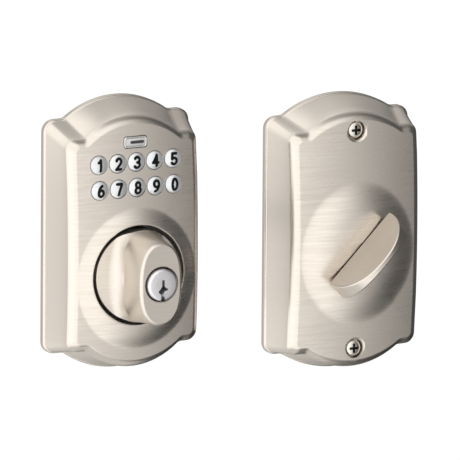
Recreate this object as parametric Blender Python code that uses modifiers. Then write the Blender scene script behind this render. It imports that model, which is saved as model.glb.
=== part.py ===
"""Keypad smart lock: the outside keypad escutcheon and the inside thumbturn cover of one deadbolt.

Both halves stand side by side on one plane, as if laid out on a board. The origin is on that plane, on
the axis of the outside knob. +X is to the right, +Z is up, and the front of both halves faces -Y.

Every part is modelled with its own Z pointing out of the front, and is then stood up: a part's local x
is world X, its local y is world Z, and its local z, called depth here, is world -Y.
"""
import math

import bmesh
import bpy
from mathutils import Matrix, Vector

MM = 0.001

# Where the two plates are: both axes are at the same height, and each plate's middle is above its axis.
OUTSIDE_CENTRE_Z = 16.6 * MM
INSIDE_X = 117.2 * MM
INSIDE_CENTRE_Z = 6.5 * MM

# Foot of both plates, the arched outline that lies on the door.
FOOT_HALF_WIDTH = 38.1 * MM
FOOT_CORNER = 5.8 * MM
FOOT_FILLET = 5.0 * MM
SIDE_ANGLES = (52.0, 35.0, 18.0, 0.0, -18.0, -36.0)
FOOT_EDGE_DEPTH = 2.6 * MM
FOOT_LIP_DEPTH = 3.6 * MM
FOOT_LIP_INSET = 0.8 * MM

# Raised panel in front of the foot, with a low round dome around the lock axis.
PANEL_HALF_WIDTH = 33.5 * MM
PANEL_CORNER = 4.5 * MM
PANEL_SPRING = 24.5 * MM
PANEL_FILLET = 4.0 * MM
PANEL_WALL = 6.0 * MM
PANEL_ROUND_IN = 2.4 * MM
PANEL_ROUND_DOWN = 1.8 * MM
FACE_DEPTH = 26.0 * MM
FACE_CROWN_Z = 3.4 * MM
FACE_CROWN_X = 1.6 * MM
DOME_HEIGHT = 2.5 * MM
DOME_POWER = 6.0
WALL = 2.0 * MM

# Outside knob, which turns in the round hole of the dome.
KNOB_HOLE = 23.7 * MM
KNOB_RADIUS = 22.0 * MM
KNOB_BACK = 14.0 * MM
KNOB_RIM = 26.4 * MM
KNOB_RIM_LEAN = 0.07
KNOB_FACE = 50.5 * MM
KNOB_FACE_ROUND = 1.4 * MM
FACE_HALF_WIDTH = 10.95 * MM
FACE_HALF_HEIGHT = 19.8 * MM
FACE_POWER = 2.35
NECK_HALF_WIDTH = 10.3 * MM
NECK_HALF_HEIGHT = 21.4 * MM
NECK_POWER = 5.0
NECK_START = 31.5 * MM
FILLET_RISE = 5.1 * MM
FILLET_REACH = 5.5 * MM
HUB_RADIUS = 11.5 * MM
HUB_BACK = 0.3 * MM
HUB_GROOVE = 10.9 * MM
KNOB_STEPS = 48

# Lock cylinder in the knob.
PLUG_HEAD_RADIUS = 7.6 * MM
PLUG_RADIUS = 6.35 * MM
PLUG_FRONT = 52.4 * MM
PLUG_HEAD_BACK = 47.0 * MM
PLUG_BACK = 1.6 * MM
CYLINDER_RADIUS = 8.8 * MM
CYLINDER_BORE = 6.6 * MM
CYLINDER_BACK = 4.8 * MM
CYLINDER_FRONT = 45.6 * MM
CHAMBER_HALF_WIDTH = 3.4 * MM
CHAMBER_TOP = 17.2 * MM
PIN_COUNT = 5
PIN_FIRST_DEPTH = 40.0 * MM
PIN_PITCH = 3.96 * MM
PIN_RADIUS = 1.3 * MM
PIN_HOLE = 1.55 * MM
KEY_PIN_LENGTHS = (4.4 * MM, 3.5 * MM, 3.9 * MM, 3.1 * MM, 4.1 * MM)
DRIVER_LENGTH = 4.0 * MM
TAILPIECE_END = -50.0 * MM

# Keys and status button.
KEY_NAMES = ("1", "2", "3", "4", "5", "6", "7", "8", "9", "0")
KEY_PITCH_X = 9.67 * MM
KEY_ROWS = (36.9 * MM, 24.9 * MM)
KEY_RADIUS = 4.35 * MM
KEY_HOLE = 4.6 * MM
KEY_BACK = 16.9 * MM
KEY_STAND = 1.3 * MM
BUTTON_Z = 46.3 * MM
BUTTON_HALF_WIDTH = 5.9 * MM
BUTTON_HALF_HEIGHT = 2.65 * MM
BUTTON_FRAME = 0.75 * MM
BUTTON_STAND = 0.45 * MM

# Inside thumbturn: a half-round paddle on a stepped spindle.
TURN_ANGLE = math.radians(45.0)
TURN_RADIUS = 22.6 * MM
TURN_FOOT = 33.7 * MM
TURN_HEIGHT = 19.2 * MM
TURN_POWER = 2.3
TURN_FOOT_THICKNESS = 10.9 * MM
TURN_CREST_THICKNESS = 2.7 * MM
SPINDLE_RADIUS = 5.4 * MM
SPINDLE_STEP = 20.0 * MM
SPINDLE_NECK = 3.4 * MM
SPINDLE_HOLE = 3.8 * MM
SCREW_OFFSET = 52.75 * MM
SCREW_MIDDLE = -1.15 * MM
SCREW_RECESS = 4.6 * MM
SCREW_HEAD = 3.9 * MM
SCREW_SHANK = 1.75 * MM
SCREW_SINK = 0.9 * MM

# Inner layers, as depths from the door.
GASKET_DEPTH = 1.3 * MM
PLATE_BACK = 1.7 * MM
PLATE_FRONT = 3.2 * MM
GAP = 0.3 * MM


def fresh_collection(name):
    collection = bpy.data.collections.new(name)
    bpy.context.scene.collection.children.link(collection)
    return collection


for old in list(bpy.data.objects):
    bpy.data.objects.remove(old, do_unlink=True)

PARTS = fresh_collection("keypad_smart_lock")
CUTTERS = fresh_collection("cutters")

LOOKS = {
    "satin_nickel": ((0.58, 0.54, 0.49, 1.0), 0.32, 1.0),
    "key_silver": ((0.68, 0.69, 0.71, 1.0), 0.38, 0.8),
    "bright_nickel": ((0.72, 0.71, 0.72, 1.0), 0.22, 1.0),
    "steel": ((0.55, 0.56, 0.57, 1.0), 0.35, 1.0),
    "brass": ((0.72, 0.56, 0.28, 1.0), 0.3, 1.0),
    "black_plastic": ((0.03, 0.03, 0.035, 1.0), 0.45, 0.0),
    "smoked_lens": ((0.05, 0.055, 0.06, 1.0), 0.15, 0.0),
    "rubber": ((0.04, 0.04, 0.04, 1.0), 0.8, 0.0),
    "silicone": ((0.45, 0.46, 0.47, 1.0), 0.6, 0.0),
    "circuit_green": ((0.03, 0.18, 0.08, 1.0), 0.4, 0.0),
    "led_white": ((0.9, 0.9, 0.85, 1.0), 0.3, 0.0),
    "battery_blue": ((0.05, 0.09, 0.25, 1.0), 0.4, 0.0),
}


def paint(obj, look):
    """Gives the object a material of its own in one of the looks."""
    colour, roughness, metallic = LOOKS[look]
    material = bpy.data.materials.new(obj.name + "_material")
    material.use_nodes = True
    shader = material.node_tree.nodes["Principled BSDF"]
    shader.inputs["Base Color"].default_value = colour
    shader.inputs["Roughness"].default_value = roughness
    shader.inputs["Metallic"].default_value = metallic
    obj.data.materials.clear()
    obj.data.materials.append(material)


def stand(obj, x, z, spin=0.0):
    """Stands the object up with its origin at (x, z) on the door plane, spun about its own axis."""
    upright = Matrix.Rotation(math.pi / 2, 4, "X")
    obj.matrix_world = Matrix.Translation((x, 0.0, z)) @ upright @ Matrix.Rotation(spin, 4, "Z")


def add_mesh(name, bm, look, x=0.0, z=0.0, spin=0.0):
    """Makes a part from a bmesh drawn in local axes, and removes the bmesh."""
    mesh = bpy.data.meshes.new(name)
    bm.normal_update()
    bm.to_mesh(mesh)
    bm.free()
    mesh.shade_smooth()
    mesh.set_sharp_from_angle(angle=math.radians(35.0))
    obj = bpy.data.objects.new(name, mesh)
    stand(obj, x, z, spin)
    if look is None:
        CUTTERS.objects.link(obj)
        obj.hide_render = True
        obj.display_type = "WIRE"
    else:
        PARTS.objects.link(obj)
        paint(obj, look)
    return obj


def cylinder(name, look, radius, back, front, x=0.0, z=0.0, segments=32, offset=(0.0, 0.0), upright=False):
    """Round bar along the depth axis, or along local y if upright; back and front are its two ends."""
    bm = bmesh.new()
    bmesh.ops.create_cone(bm, cap_ends=True, segments=segments, radius1=radius, radius2=radius,
                          depth=front - back)
    middle = (back + front) / 2
    if upright:
        bmesh.ops.rotate(bm, verts=bm.verts, matrix=Matrix.Rotation(-math.pi / 2, 3, "X"))
        bmesh.ops.translate(bm, verts=bm.verts, vec=(offset[0], middle, offset[1]))
    else:
        bmesh.ops.translate(bm, verts=bm.verts, vec=(offset[0], offset[1], middle))
    return add_mesh(name, bm, look, x, z)


def box(name, look, low, high, x=0.0, z=0.0, bevel=0.0, spin=0.0):
    """Box between two corners given in local axes, with its edges rounded by a Bevel modifier."""
    bm = bmesh.new()
    bmesh.ops.create_cube(bm, size=1.0)
    size = Vector(high) - Vector(low)
    bmesh.ops.scale(bm, verts=bm.verts, vec=size)
    bmesh.ops.translate(bm, verts=bm.verts, vec=(Vector(high) + Vector(low)) / 2)
    obj = add_mesh(name, bm, look, x, z, spin)
    if bevel:
        modifier = obj.modifiers.new("rounded_edges", "BEVEL")
        modifier.width = bevel
        modifier.segments = 2
    return obj


def turned(name, look, profile, x=0.0, z=0.0, steps=32, closed=False):
    """Turned part: the profile is (radius, depth) down its outer side, closed for a ring."""
    bm = bmesh.new()
    verts = [bm.verts.new((radius, 0.0, depth)) for radius, depth in profile]
    for first, second in zip(verts, verts[1:]):
        bm.edges.new((first, second))
    if closed:
        bm.edges.new((verts[-1], verts[0]))
    obj = add_mesh(name, bm, look, x, z)
    modifier = obj.modifiers.new("turned", "SCREW")
    modifier.axis = "Z"
    modifier.angle = 2 * math.pi
    modifier.steps = steps
    modifier.render_steps = steps
    modifier.use_merge_vertices = True
    modifier.merge_threshold = 0.00001
    modifier.use_normal_calculate = False
    return obj


def plate(name, look, rings, back, front, x=0.0, z=0.0):
    """Flat plate from closed outlines, the first its edge and the others its holes."""
    curve = bpy.data.curves.new(name, "CURVE")
    curve.dimensions = "2D"
    curve.fill_mode = "BOTH"
    curve.extrude = (front - back) / 2
    for ring in rings:
        spline = curve.splines.new("POLY")
        spline.points.add(len(ring) - 1)
        for point, (px, py) in zip(spline.points, ring):
            point.co = (px, py, 0.0, 1.0)
        spline.use_cyclic_u = True
    drawn = bpy.data.objects.new(name + "_outline", curve)
    PARTS.objects.link(drawn)
    bpy.context.view_layer.update()
    depsgraph = bpy.context.evaluated_depsgraph_get()
    mesh = bpy.data.meshes.new_from_object(drawn.evaluated_get(depsgraph))
    bpy.data.objects.remove(drawn, do_unlink=True)
    bm = bmesh.new()
    bm.from_mesh(mesh)
    bpy.data.meshes.remove(mesh)
    bmesh.ops.remove_doubles(bm, verts=bm.verts, dist=0.00001)
    bmesh.ops.translate(bm, verts=bm.verts, vec=(0.0, 0.0, (back + front) / 2))
    return add_mesh(name, bm, look, x, z)


def loft(name, look, rings, x=0.0, z=0.0, spin=0.0, closed=False):
    """Skins a row of rings with equal counts; capped at both ends, or joined end to end if closed."""
    bm = bmesh.new()
    rows = [[bm.verts.new(point) for point in ring] for ring in rings]
    pairs = list(zip(rows, rows[1:]))
    if closed:
        pairs.append((rows[-1], rows[0]))
    for lower, upper in pairs:
        for i in range(len(lower)):
            j = (i + 1) % len(lower)
            bm.faces.new((lower[i], lower[j], upper[j], upper[i]))
    if not closed:
        bm.faces.new(list(reversed(rows[0])))
        bm.faces.new(rows[-1])
    bmesh.ops.recalc_face_normals(bm, faces=bm.faces)
    return add_mesh(name, bm, look, x, z, spin)


def join_or_cut(obj, tool, operation="DIFFERENCE"):
    """Cuts the tool out of the object, or joins it on, with an exact Boolean."""
    modifier = obj.modifiers.new(tool.name, "BOOLEAN")
    modifier.operation = operation
    modifier.solver = "EXACT"
    modifier.object = tool


def arc(cx, cy, radius, start, end, count):
    """Points on an arc, both ends included, with angles in radians."""
    step = (end - start) / (count - 1)
    return [(cx + radius * math.cos(start + i * step), cy + radius * math.sin(start + i * step))
            for i in range(count)]


def circle(radius, count=32, cx=0.0, cy=0.0):
    return [(cx + radius * math.cos(2 * math.pi * i / count), cy + radius * math.sin(2 * math.pi * i / count))
            for i in range(count)]


def arched_outline(half_width, shoulder, rise, corner, spring, fillet, centre):
    """Closed outline of a plate with an arch at its top and bottom between square shoulders.

    The arch passes through the spring points at shoulder height and stands its rise above them. A
    hollow fillet joins it to each shoulder. The straight sides have points at even angles around the
    lock axis, for the round dome. The points run clockwise from the top of the arch.
    """
    radius = (spring * spring + rise * rise) / (2 * rise)
    arch_y = shoulder + rise - radius
    fillet_y = shoulder + fillet
    fillet_x = math.sqrt((radius + fillet) ** 2 - (fillet_y - arch_y) ** 2)
    meet = math.atan2(fillet_y - arch_y, fillet_x)
    quarter = arc(0.0, arch_y, radius, math.pi / 2, meet, 6)
    quarter += arc(fillet_x, fillet_y, fillet, math.pi + meet, 1.5 * math.pi, 3)[1:]
    quarter += arc(half_width - corner, shoulder - corner, corner, math.pi / 2, 0.0, 4)
    side = [(half_width, half_width * math.tan(math.radians(degrees)) - centre) for degrees in SIDE_ANGLES]
    right = quarter + side + [(px, -py) for px, py in reversed(quarter)]
    left = [(-px, py) for px, py in reversed(right[1:-1])]
    return [(px, py + centre) for px, py in right + left]


class CoverShape:
    """Outlines and face depths of one cast cover, in its own axes from the lock axis."""

    def __init__(self, foot, panel, crown_centre, dome):
        self.foot_shoulder, self.foot_rise, self.foot_spring, self.foot_centre = foot
        self.panel_shoulder, self.panel_rise, self.panel_centre = panel
        self.crown_centre = crown_centre
        self.dome_half_width, self.dome_half_height, self.dome_centre = dome

    def foot(self, inset):
        return arched_outline(FOOT_HALF_WIDTH - inset, self.foot_shoulder - inset, self.foot_rise,
                              FOOT_CORNER - inset * 0.6, self.foot_spring, FOOT_FILLET, self.foot_centre)

    def panel(self, inset):
        return arched_outline(PANEL_HALF_WIDTH - inset, self.panel_shoulder - inset, self.panel_rise,
                              PANEL_CORNER - inset * 0.7, PANEL_SPRING, PANEL_FILLET, self.panel_centre)

    def dome_reach(self, px, py):
        """Distance from the middle of the dome, as a share of the way to its edge."""
        return math.hypot(px / self.dome_half_width, (py - self.dome_centre) / self.dome_half_height)

    def face(self, px, py):
        """Depth of the front face: a panel crowned both ways, and the dome that rolls over at its edge."""
        up = (py - self.crown_centre) / (60.0 * MM)
        across = px / (33.0 * MM)
        flat = FACE_DEPTH - FACE_CROWN_Z * up * up - FACE_CROWN_X * across * across
        return flat + DOME_HEIGHT * max(0.0, 1.0 - self.dome_reach(px, py) ** DOME_POWER) ** 1.4

    def dome_ring(self, outer, scale):
        """The outline of the dome, scaled, at the angles of an outer ring and always inside it."""
        points = []
        for px, py in outer:
            share = min(0.97, scale / self.dome_reach(px, py))
            points.append((px * share, self.dome_centre + (py - self.dome_centre) * share))
        return points


def blend_rings(first, second, share):
    return [(ax + (bx - ax) * share, ay + (by - ay) * share) for (ax, ay), (bx, by) in zip(first, second)]


def at_depth(ring, depth):
    return [(px, py, depth) for px, py in ring]


def rays_within(ring, radius, most=1.0):
    """Each point of the ring pulled in along its ray onto a circle, or to a share of its own distance."""
    pulled = []
    for px, py in ring:
        share = min(most, radius / math.hypot(px, py))
        pulled.append((px * share, py * share))
    return pulled


def cover_shell(name, shape, hole, x):
    """One-piece cast cover: foot, sloping sides, raised panel, dome and the round hole at the lock axis."""
    lip = shape.foot(FOOT_LIP_INSET)
    panel = shape.panel(0.0)
    edge = shape.panel(PANEL_ROUND_IN)
    crease_depths = [shape.face(px, py) - PANEL_WALL for px, py in edge]
    rings = [at_depth(shape.foot(0.0), 0.0), at_depth(shape.foot(0.0), FOOT_EDGE_DEPTH)]
    rings.append(at_depth(shape.foot(0.25 * MM), 3.3 * MM))
    rings.append(at_depth(lip, FOOT_LIP_DEPTH))
    for share in (0.25, 0.5, 0.75, 1.0):
        outline = blend_rings(lip, panel, 1.0 - (1.0 - share) ** 1.12)
        rings.append([(px, py, FOOT_LIP_DEPTH + (crease - FOOT_LIP_DEPTH) * share)
                      for (px, py), crease in zip(outline, crease_depths)])
    for degrees in (0.0, 30.0, 60.0):
        turn = math.radians(degrees)
        outline = blend_rings(panel, edge, 1.0 - math.cos(turn))
        rise = PANEL_WALL - PANEL_ROUND_DOWN * (1.0 - math.sin(turn))
        rings.append([(px, py, crease + rise) for (px, py), crease in zip(outline, crease_depths)])
    brim = shape.dome_ring(edge, 1.0)
    shoulder = shape.dome_ring(edge, 0.87)
    rim = rays_within(edge, hole)
    for first, second, count in ((edge, brim, 2), (brim, shoulder, 4), (shoulder, rim, 2), (rim, rim, 1)):
        for step in range(count):
            outline = blend_rings(first, second, step / count)
            rings.append([(px, py, shape.face(px, py)) for px, py in outline])
    inner_edge = shape.panel(PANEL_ROUND_IN + 0.8 * MM)
    inner_swell = rays_within(inner_edge, 33.0 * MM, 0.96)
    for first, second, steps in ((rim, inner_swell, (0.0, 0.3, 0.6, 1.0)), (inner_swell, inner_edge, (1.0,))):
        for share in steps:
            outline = blend_rings(first, second, share)
            rings.append([(px, py, shape.face(px, py) - WALL) for px, py in outline])
    inner_wall = shape.panel(WALL)
    rings.append([(px, py, shape.face(ex, ey) - PANEL_WALL)
                  for (px, py), (ex, ey) in zip(inner_wall, inner_edge)])
    inner_foot = shape.foot(WALL + 0.4 * MM)
    rings.append(at_depth(blend_rings(inner_foot, inner_wall, 0.6), 9.0 * MM))
    rings.append(at_depth(inner_foot, PLATE_FRONT + GAP))
    rings.append(at_depth(inner_foot, 0.0))
    return loft(name, "satin_nickel", rings, x=x, closed=True)


# ------------------------------------------------------------------------------------------------
# Outside half
# ------------------------------------------------------------------------------------------------
outside_shape = CoverShape((56.0 * MM, 9.3 * MM, 27.3 * MM, OUTSIDE_CENTRE_Z),
                           (50.4 * MM, 9.5 * MM, OUTSIDE_CENTRE_Z - 1.5 * MM), 5.0 * MM,
                           (30.5 * MM, 33.4 * MM, -2.0 * MM))
escutcheon = cover_shell("exterior_escutcheon", outside_shape, KNOB_HOLE, 0.0)

for index, digit in enumerate(KEY_NAMES):
    key_x = (index % 5 - 2) * KEY_PITCH_X
    key_z = OUTSIDE_CENTRE_Z + KEY_ROWS[index // 5]
    key_top = outside_shape.face(0.0, key_z) + KEY_STAND
    turned("key_" + digit, "key_silver",
           [(0.0, key_top), (2.0 * MM, key_top - 0.2 * MM), (3.4 * MM, key_top - 0.62 * MM),
            (4.1 * MM, key_top - 0.98 * MM), (KEY_RADIUS, key_top - 1.5 * MM), (KEY_RADIUS, KEY_BACK),
            (0.0, KEY_BACK)], x=key_x, z=key_z, steps=16)
    hole = cylinder("cut_key_" + digit, None, KEY_HOLE, 14.0 * MM, 30.0 * MM, x=key_x, z=key_z, segments=16)
    join_or_cut(escutcheon, hole)

button_z = OUTSIDE_CENTRE_Z + BUTTON_Z


def rounded_rectangle(half_width, half_height, radius):
    corners = ((half_width - radius, half_height - radius, 0.0),
               (radius - half_width, half_height - radius, math.pi / 2),
               (radius - half_width, radius - half_height, math.pi),
               (half_width - radius, radius - half_height, 1.5 * math.pi))
    points = []
    for cx, cy, start in corners:
        points += arc(cx, cy, radius, start, start + math.pi / 2, 4)
    return points


button_outer = rounded_rectangle(BUTTON_HALF_WIDTH, BUTTON_HALF_HEIGHT, 1.3 * MM)
button_window = rounded_rectangle(BUTTON_HALF_WIDTH - BUTTON_FRAME, BUTTON_HALF_HEIGHT - BUTTON_FRAME,
                                  0.7 * MM)
lens_outline = rounded_rectangle(BUTTON_HALF_WIDTH - BUTTON_FRAME - 0.15 * MM,
                                 BUTTON_HALF_HEIGHT - BUTTON_FRAME - 0.15 * MM, 0.6 * MM)
slot_outline = rounded_rectangle(BUTTON_HALF_WIDTH + 0.25 * MM, BUTTON_HALF_HEIGHT + 0.25 * MM, 1.5 * MM)
button_top = outside_shape.face(0.0, button_z) + BUTTON_STAND
plate("status_button", "bright_nickel", [button_outer, button_window], 17.3 * MM, button_top, z=button_z)
plate("status_lens", "smoked_lens", [lens_outline], 17.5 * MM, button_top - 0.25 * MM, z=button_z)
button_slot = plate("cut_button_slot", None, [slot_outline], 14.0 * MM, 30.0 * MM, z=button_z)
join_or_cut(escutcheon, button_slot)

plate("exterior_gasket", "rubber", [outside_shape.foot(3.0 * MM), outside_shape.foot(6.6 * MM)], 0.0,
      GASKET_DEPTH)
plate("exterior_back_plate", "steel", [outside_shape.foot(2.9 * MM), circle(HUB_RADIUS + GAP)], PLATE_BACK,
      PLATE_FRONT)

POST_SPACING = 20.0 * MM
POST_RADIUS = 3.2 * MM
POST_BORE = 1.9 * MM
for side, name in ((-1, "post_left"), (1, "post_right")):
    turned(name, "steel", [(POST_BORE, PLATE_BACK - 0.1 * MM), (POST_RADIUS, PLATE_BACK - 0.1 * MM),
                           (POST_RADIUS, -12.0 * MM), (POST_BORE, -12.0 * MM)],
           x=side * POST_SPACING, steps=20, closed=True)

BOARD_BACK = 13.0 * MM
BOARD_FRONT = 14.6 * MM
BOARD_HALF_WIDTH = 28.0 * MM
BOARD_LOW = OUTSIDE_CENTRE_Z + 11.5 * MM
BOARD_HIGH = OUTSIDE_CENTRE_Z + 46.8 * MM
box("keypad_board", "circuit_green", (-BOARD_HALF_WIDTH, BOARD_LOW, BOARD_BACK),
    (BOARD_HALF_WIDTH, BOARD_HIGH, BOARD_FRONT))
membrane_low = OUTSIDE_CENTRE_Z + KEY_ROWS[1] - 6.0 * MM
membrane_high = OUTSIDE_CENTRE_Z + KEY_ROWS[0] + 5.6 * MM
box("keypad_membrane", "silicone", (-25.0 * MM, membrane_low, BOARD_FRONT + 0.1 * MM),
    (25.0 * MM, membrane_high, 15.8 * MM))
box("indicator_led", "led_white", (-1.6 * MM, button_z - 0.9 * MM, BOARD_FRONT + 0.05 * MM),
    (1.6 * MM, button_z + 0.4 * MM, 15.9 * MM))
turned("turn_retaining_ring", "steel",
       [(HUB_GROOVE + 0.15 * MM, 1.45 * MM), (13.6 * MM, 1.45 * MM), (13.6 * MM, 0.65 * MM),
        (HUB_GROOVE + 0.15 * MM, 0.65 * MM)], closed=True, steps=24)

# Clutch: a motor drives a screw, and the screw draws a pin in and out of the grooved ring on the hub.
CLUTCH_DEPTH = 8.0 * MM
MOTOR_LOW = 35.0 * MM
WORM_LOW = 27.6 * MM
PIN_TIP = 17.6 * MM
RING_RADIUS = 17.2 * MM
RING_GROOVE = 13.8 * MM
turned("clutch_ring", "brass",
       [(HUB_RADIUS + 0.1 * MM, 11.0 * MM), (RING_RADIUS, 11.0 * MM), (RING_RADIUS, 9.6 * MM),
        (RING_GROOVE, 9.6 * MM), (RING_GROOVE, 6.4 * MM), (RING_RADIUS, 6.4 * MM), (RING_RADIUS, 5.0 * MM),
        (HUB_RADIUS + 0.1 * MM, 5.0 * MM)], closed=True, steps=24)
cylinder("clutch_motor", "steel", 3.9 * MM, MOTOR_LOW, MOTOR_LOW + 15.0 * MM, segments=24,
         offset=(0.0, CLUTCH_DEPTH), upright=True)
cylinder("clutch_worm", "steel", 1.2 * MM, WORM_LOW, MOTOR_LOW - 0.1 * MM, segments=16,
         offset=(0.0, CLUTCH_DEPTH), upright=True)
clutch_pin = box("clutch_pin", "steel", (-3.0 * MM, 26.0 * MM, CLUTCH_DEPTH - 2.6 * MM),
                 (3.0 * MM, 30.5 * MM, CLUTCH_DEPTH + 2.6 * MM))
pin_rod = cylinder("join_clutch_rod", None, 1.0 * MM, PIN_TIP, 27.0 * MM, segments=16,
                   offset=(0.0, CLUTCH_DEPTH), upright=True)
pin_bore = cylinder("cut_clutch_bore", None, 1.6 * MM, 27.3 * MM, 31.5 * MM, segments=16,
                    offset=(0.0, CLUTCH_DEPTH), upright=True)
join_or_cut(clutch_pin, pin_rod, "UNION")
join_or_cut(clutch_pin, pin_bore)


def knob_directions():
    """Even directions around the knob, each as its cosine and sine."""
    return [(math.cos(2 * math.pi * i / KNOB_STEPS), math.sin(2 * math.pi * i / KNOB_STEPS))
            for i in range(KNOB_STEPS)]


def neck_radii(share):
    """Radii of the neck's rounded oval, from its root in the disc (0) to the front face (1)."""
    half_width = NECK_HALF_WIDTH + (FACE_HALF_WIDTH - NECK_HALF_WIDTH) * share
    half_height = NECK_HALF_HEIGHT + (FACE_HALF_HEIGHT - NECK_HALF_HEIGHT) * share
    power = NECK_POWER + (FACE_POWER - NECK_POWER) * share ** 0.8
    radii = []
    for across, up in knob_directions():
        inverse = abs(across / half_width) ** power + abs(up / half_height) ** power
        radii.append(min(inverse ** (-1.0 / power), KNOB_RADIUS - 0.3 * MM))
    return radii


def knob_ring(radii, depths):
    return [(across * radius, up * radius, depth)
            for (across, up), radius, depth in zip(knob_directions(), radii, depths)]


def even_ring(radius, depth):
    return knob_ring([radius] * KNOB_STEPS, [depth] * KNOB_STEPS)


root_radii = neck_radii(0.0)
face_radii = neck_radii(1.0)
knob_rings = [even_ring(HUB_RADIUS, HUB_BACK), even_ring(HUB_RADIUS, 0.6 * MM),
              even_ring(HUB_GROOVE, 0.6 * MM), even_ring(HUB_GROOVE, 1.5 * MM),
              even_ring(HUB_RADIUS, 1.5 * MM), even_ring(HUB_RADIUS, KNOB_BACK),
              even_ring(KNOB_RADIUS, KNOB_BACK), even_ring(KNOB_RADIUS, KNOB_RIM - 0.4 * MM)]
for share in (0.04, 0.4, 0.6, 0.75, 0.87, 0.95, 1.0):
    ring_radii = [KNOB_RADIUS + (root - KNOB_RADIUS) * share for root in root_radii]
    ring_depths = []
    for radius, root in zip(ring_radii, root_radii):
        nearness = max(0.0, 1.0 - (radius - root) / FILLET_REACH)
        ring_depths.append(KNOB_RIM + KNOB_RIM_LEAN * (KNOB_RADIUS - radius) + FILLET_RISE * nearness ** 2.6)
    knob_rings.append(knob_ring(ring_radii, ring_depths))
for share in (0.2, 0.4, 0.6, 0.8, 1.0):
    level = NECK_START + (KNOB_FACE - KNOB_FACE_ROUND - NECK_START) * share
    knob_rings.append(knob_ring(neck_radii(share), [level] * KNOB_STEPS))
for degrees in (45.0, 90.0):
    turn = math.radians(degrees)
    inset = KNOB_FACE_ROUND * (1.0 - math.cos(turn))
    level = KNOB_FACE - KNOB_FACE_ROUND * (1.0 - math.sin(turn))
    knob_rings.append(knob_ring([radius - inset for radius in face_radii], [level] * KNOB_STEPS))
outside_turn = loft("outside_turn", "satin_nickel", knob_rings)
join_or_cut(outside_turn, cylinder("cut_knob_bore", None, CYLINDER_RADIUS + GAP, -2.0 * MM, 45.8 * MM,
                                   segments=24))
join_or_cut(outside_turn, cylinder("cut_knob_front", None, PLUG_HEAD_RADIUS + 0.7 * MM, 45.0 * MM, 53.0 * MM))
join_or_cut(outside_turn, box("cut_knob_chamber", None, (-CHAMBER_HALF_WIDTH - GAP, 0.0, 17.4 * MM),
                              (CHAMBER_HALF_WIDTH + GAP, CHAMBER_TOP + GAP, 44.8 * MM)))

cylinder_body = cylinder("cylinder_body", "brass", CYLINDER_RADIUS, CYLINDER_BACK, CYLINDER_FRONT,
                         segments=24)
chamber = box("join_pin_chamber", None, (-CHAMBER_HALF_WIDTH, 4.0 * MM, 18.0 * MM),
              (CHAMBER_HALF_WIDTH, CHAMBER_TOP, 44.4 * MM))
join_or_cut(cylinder_body, chamber, "UNION")
join_or_cut(cylinder_body, cylinder("cut_cylinder_bore", None, CYLINDER_BORE, 2.0 * MM, 48.0 * MM,
                                    segments=24))

plug_profile = [(0.0, PLUG_FRONT), (PLUG_HEAD_RADIUS - 0.6 * MM, PLUG_FRONT),
                (PLUG_HEAD_RADIUS, PLUG_FRONT - 0.5 * MM), (PLUG_HEAD_RADIUS, PLUG_HEAD_BACK),
                (PLUG_RADIUS, PLUG_HEAD_BACK), (PLUG_RADIUS, 4.4 * MM), (5.4 * MM, 4.4 * MM),
                (5.4 * MM, 3.2 * MM), (PLUG_RADIUS, 3.2 * MM), (PLUG_RADIUS, PLUG_BACK), (0.0, PLUG_BACK)]
plug = turned("cylinder_plug", "bright_nickel", plug_profile, steps=24)
KEYWAY_TOP = 2.6 * MM
join_or_cut(plug, box("cut_keyway", None, (-0.75 * MM, -7.0 * MM, 12.0 * MM),
                      (0.75 * MM, KEYWAY_TOP, 56.0 * MM)))
turned("cylinder_clip", "steel", [(5.6 * MM, 4.2 * MM), (8.2 * MM, 4.2 * MM), (8.2 * MM, 3.4 * MM),
                                  (5.6 * MM, 3.4 * MM)], closed=True, steps=24)
box("tailpiece", "steel", (-1.1 * MM, -3.2 * MM, TAILPIECE_END), (1.1 * MM, 3.2 * MM, PLUG_BACK - 0.1 * MM))


def spring(name, x, z, low, high, radius, wire, turns):
    """Compression spring standing upright between two heights, as a thin coiled curve."""
    curve = bpy.data.curves.new(name, "CURVE")
    curve.dimensions = "3D"
    curve.bevel_depth = wire
    curve.bevel_resolution = 0
    curve.use_fill_caps = True
    spline = curve.splines.new("POLY")
    count = turns * 6 + 1
    spline.points.add(count - 1)
    for i, point in enumerate(spline.points):
        turn = 2 * math.pi * turns * i / (count - 1)
        rise = low + (high - low) * i / (count - 1)
        point.co = (x + radius * math.cos(turn), rise, z + radius * math.sin(turn), 1.0)
    obj = bpy.data.objects.new(name, curve)
    stand(obj, 0.0, 0.0)
    PARTS.objects.link(obj)
    paint(obj, "steel")
    return obj


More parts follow.
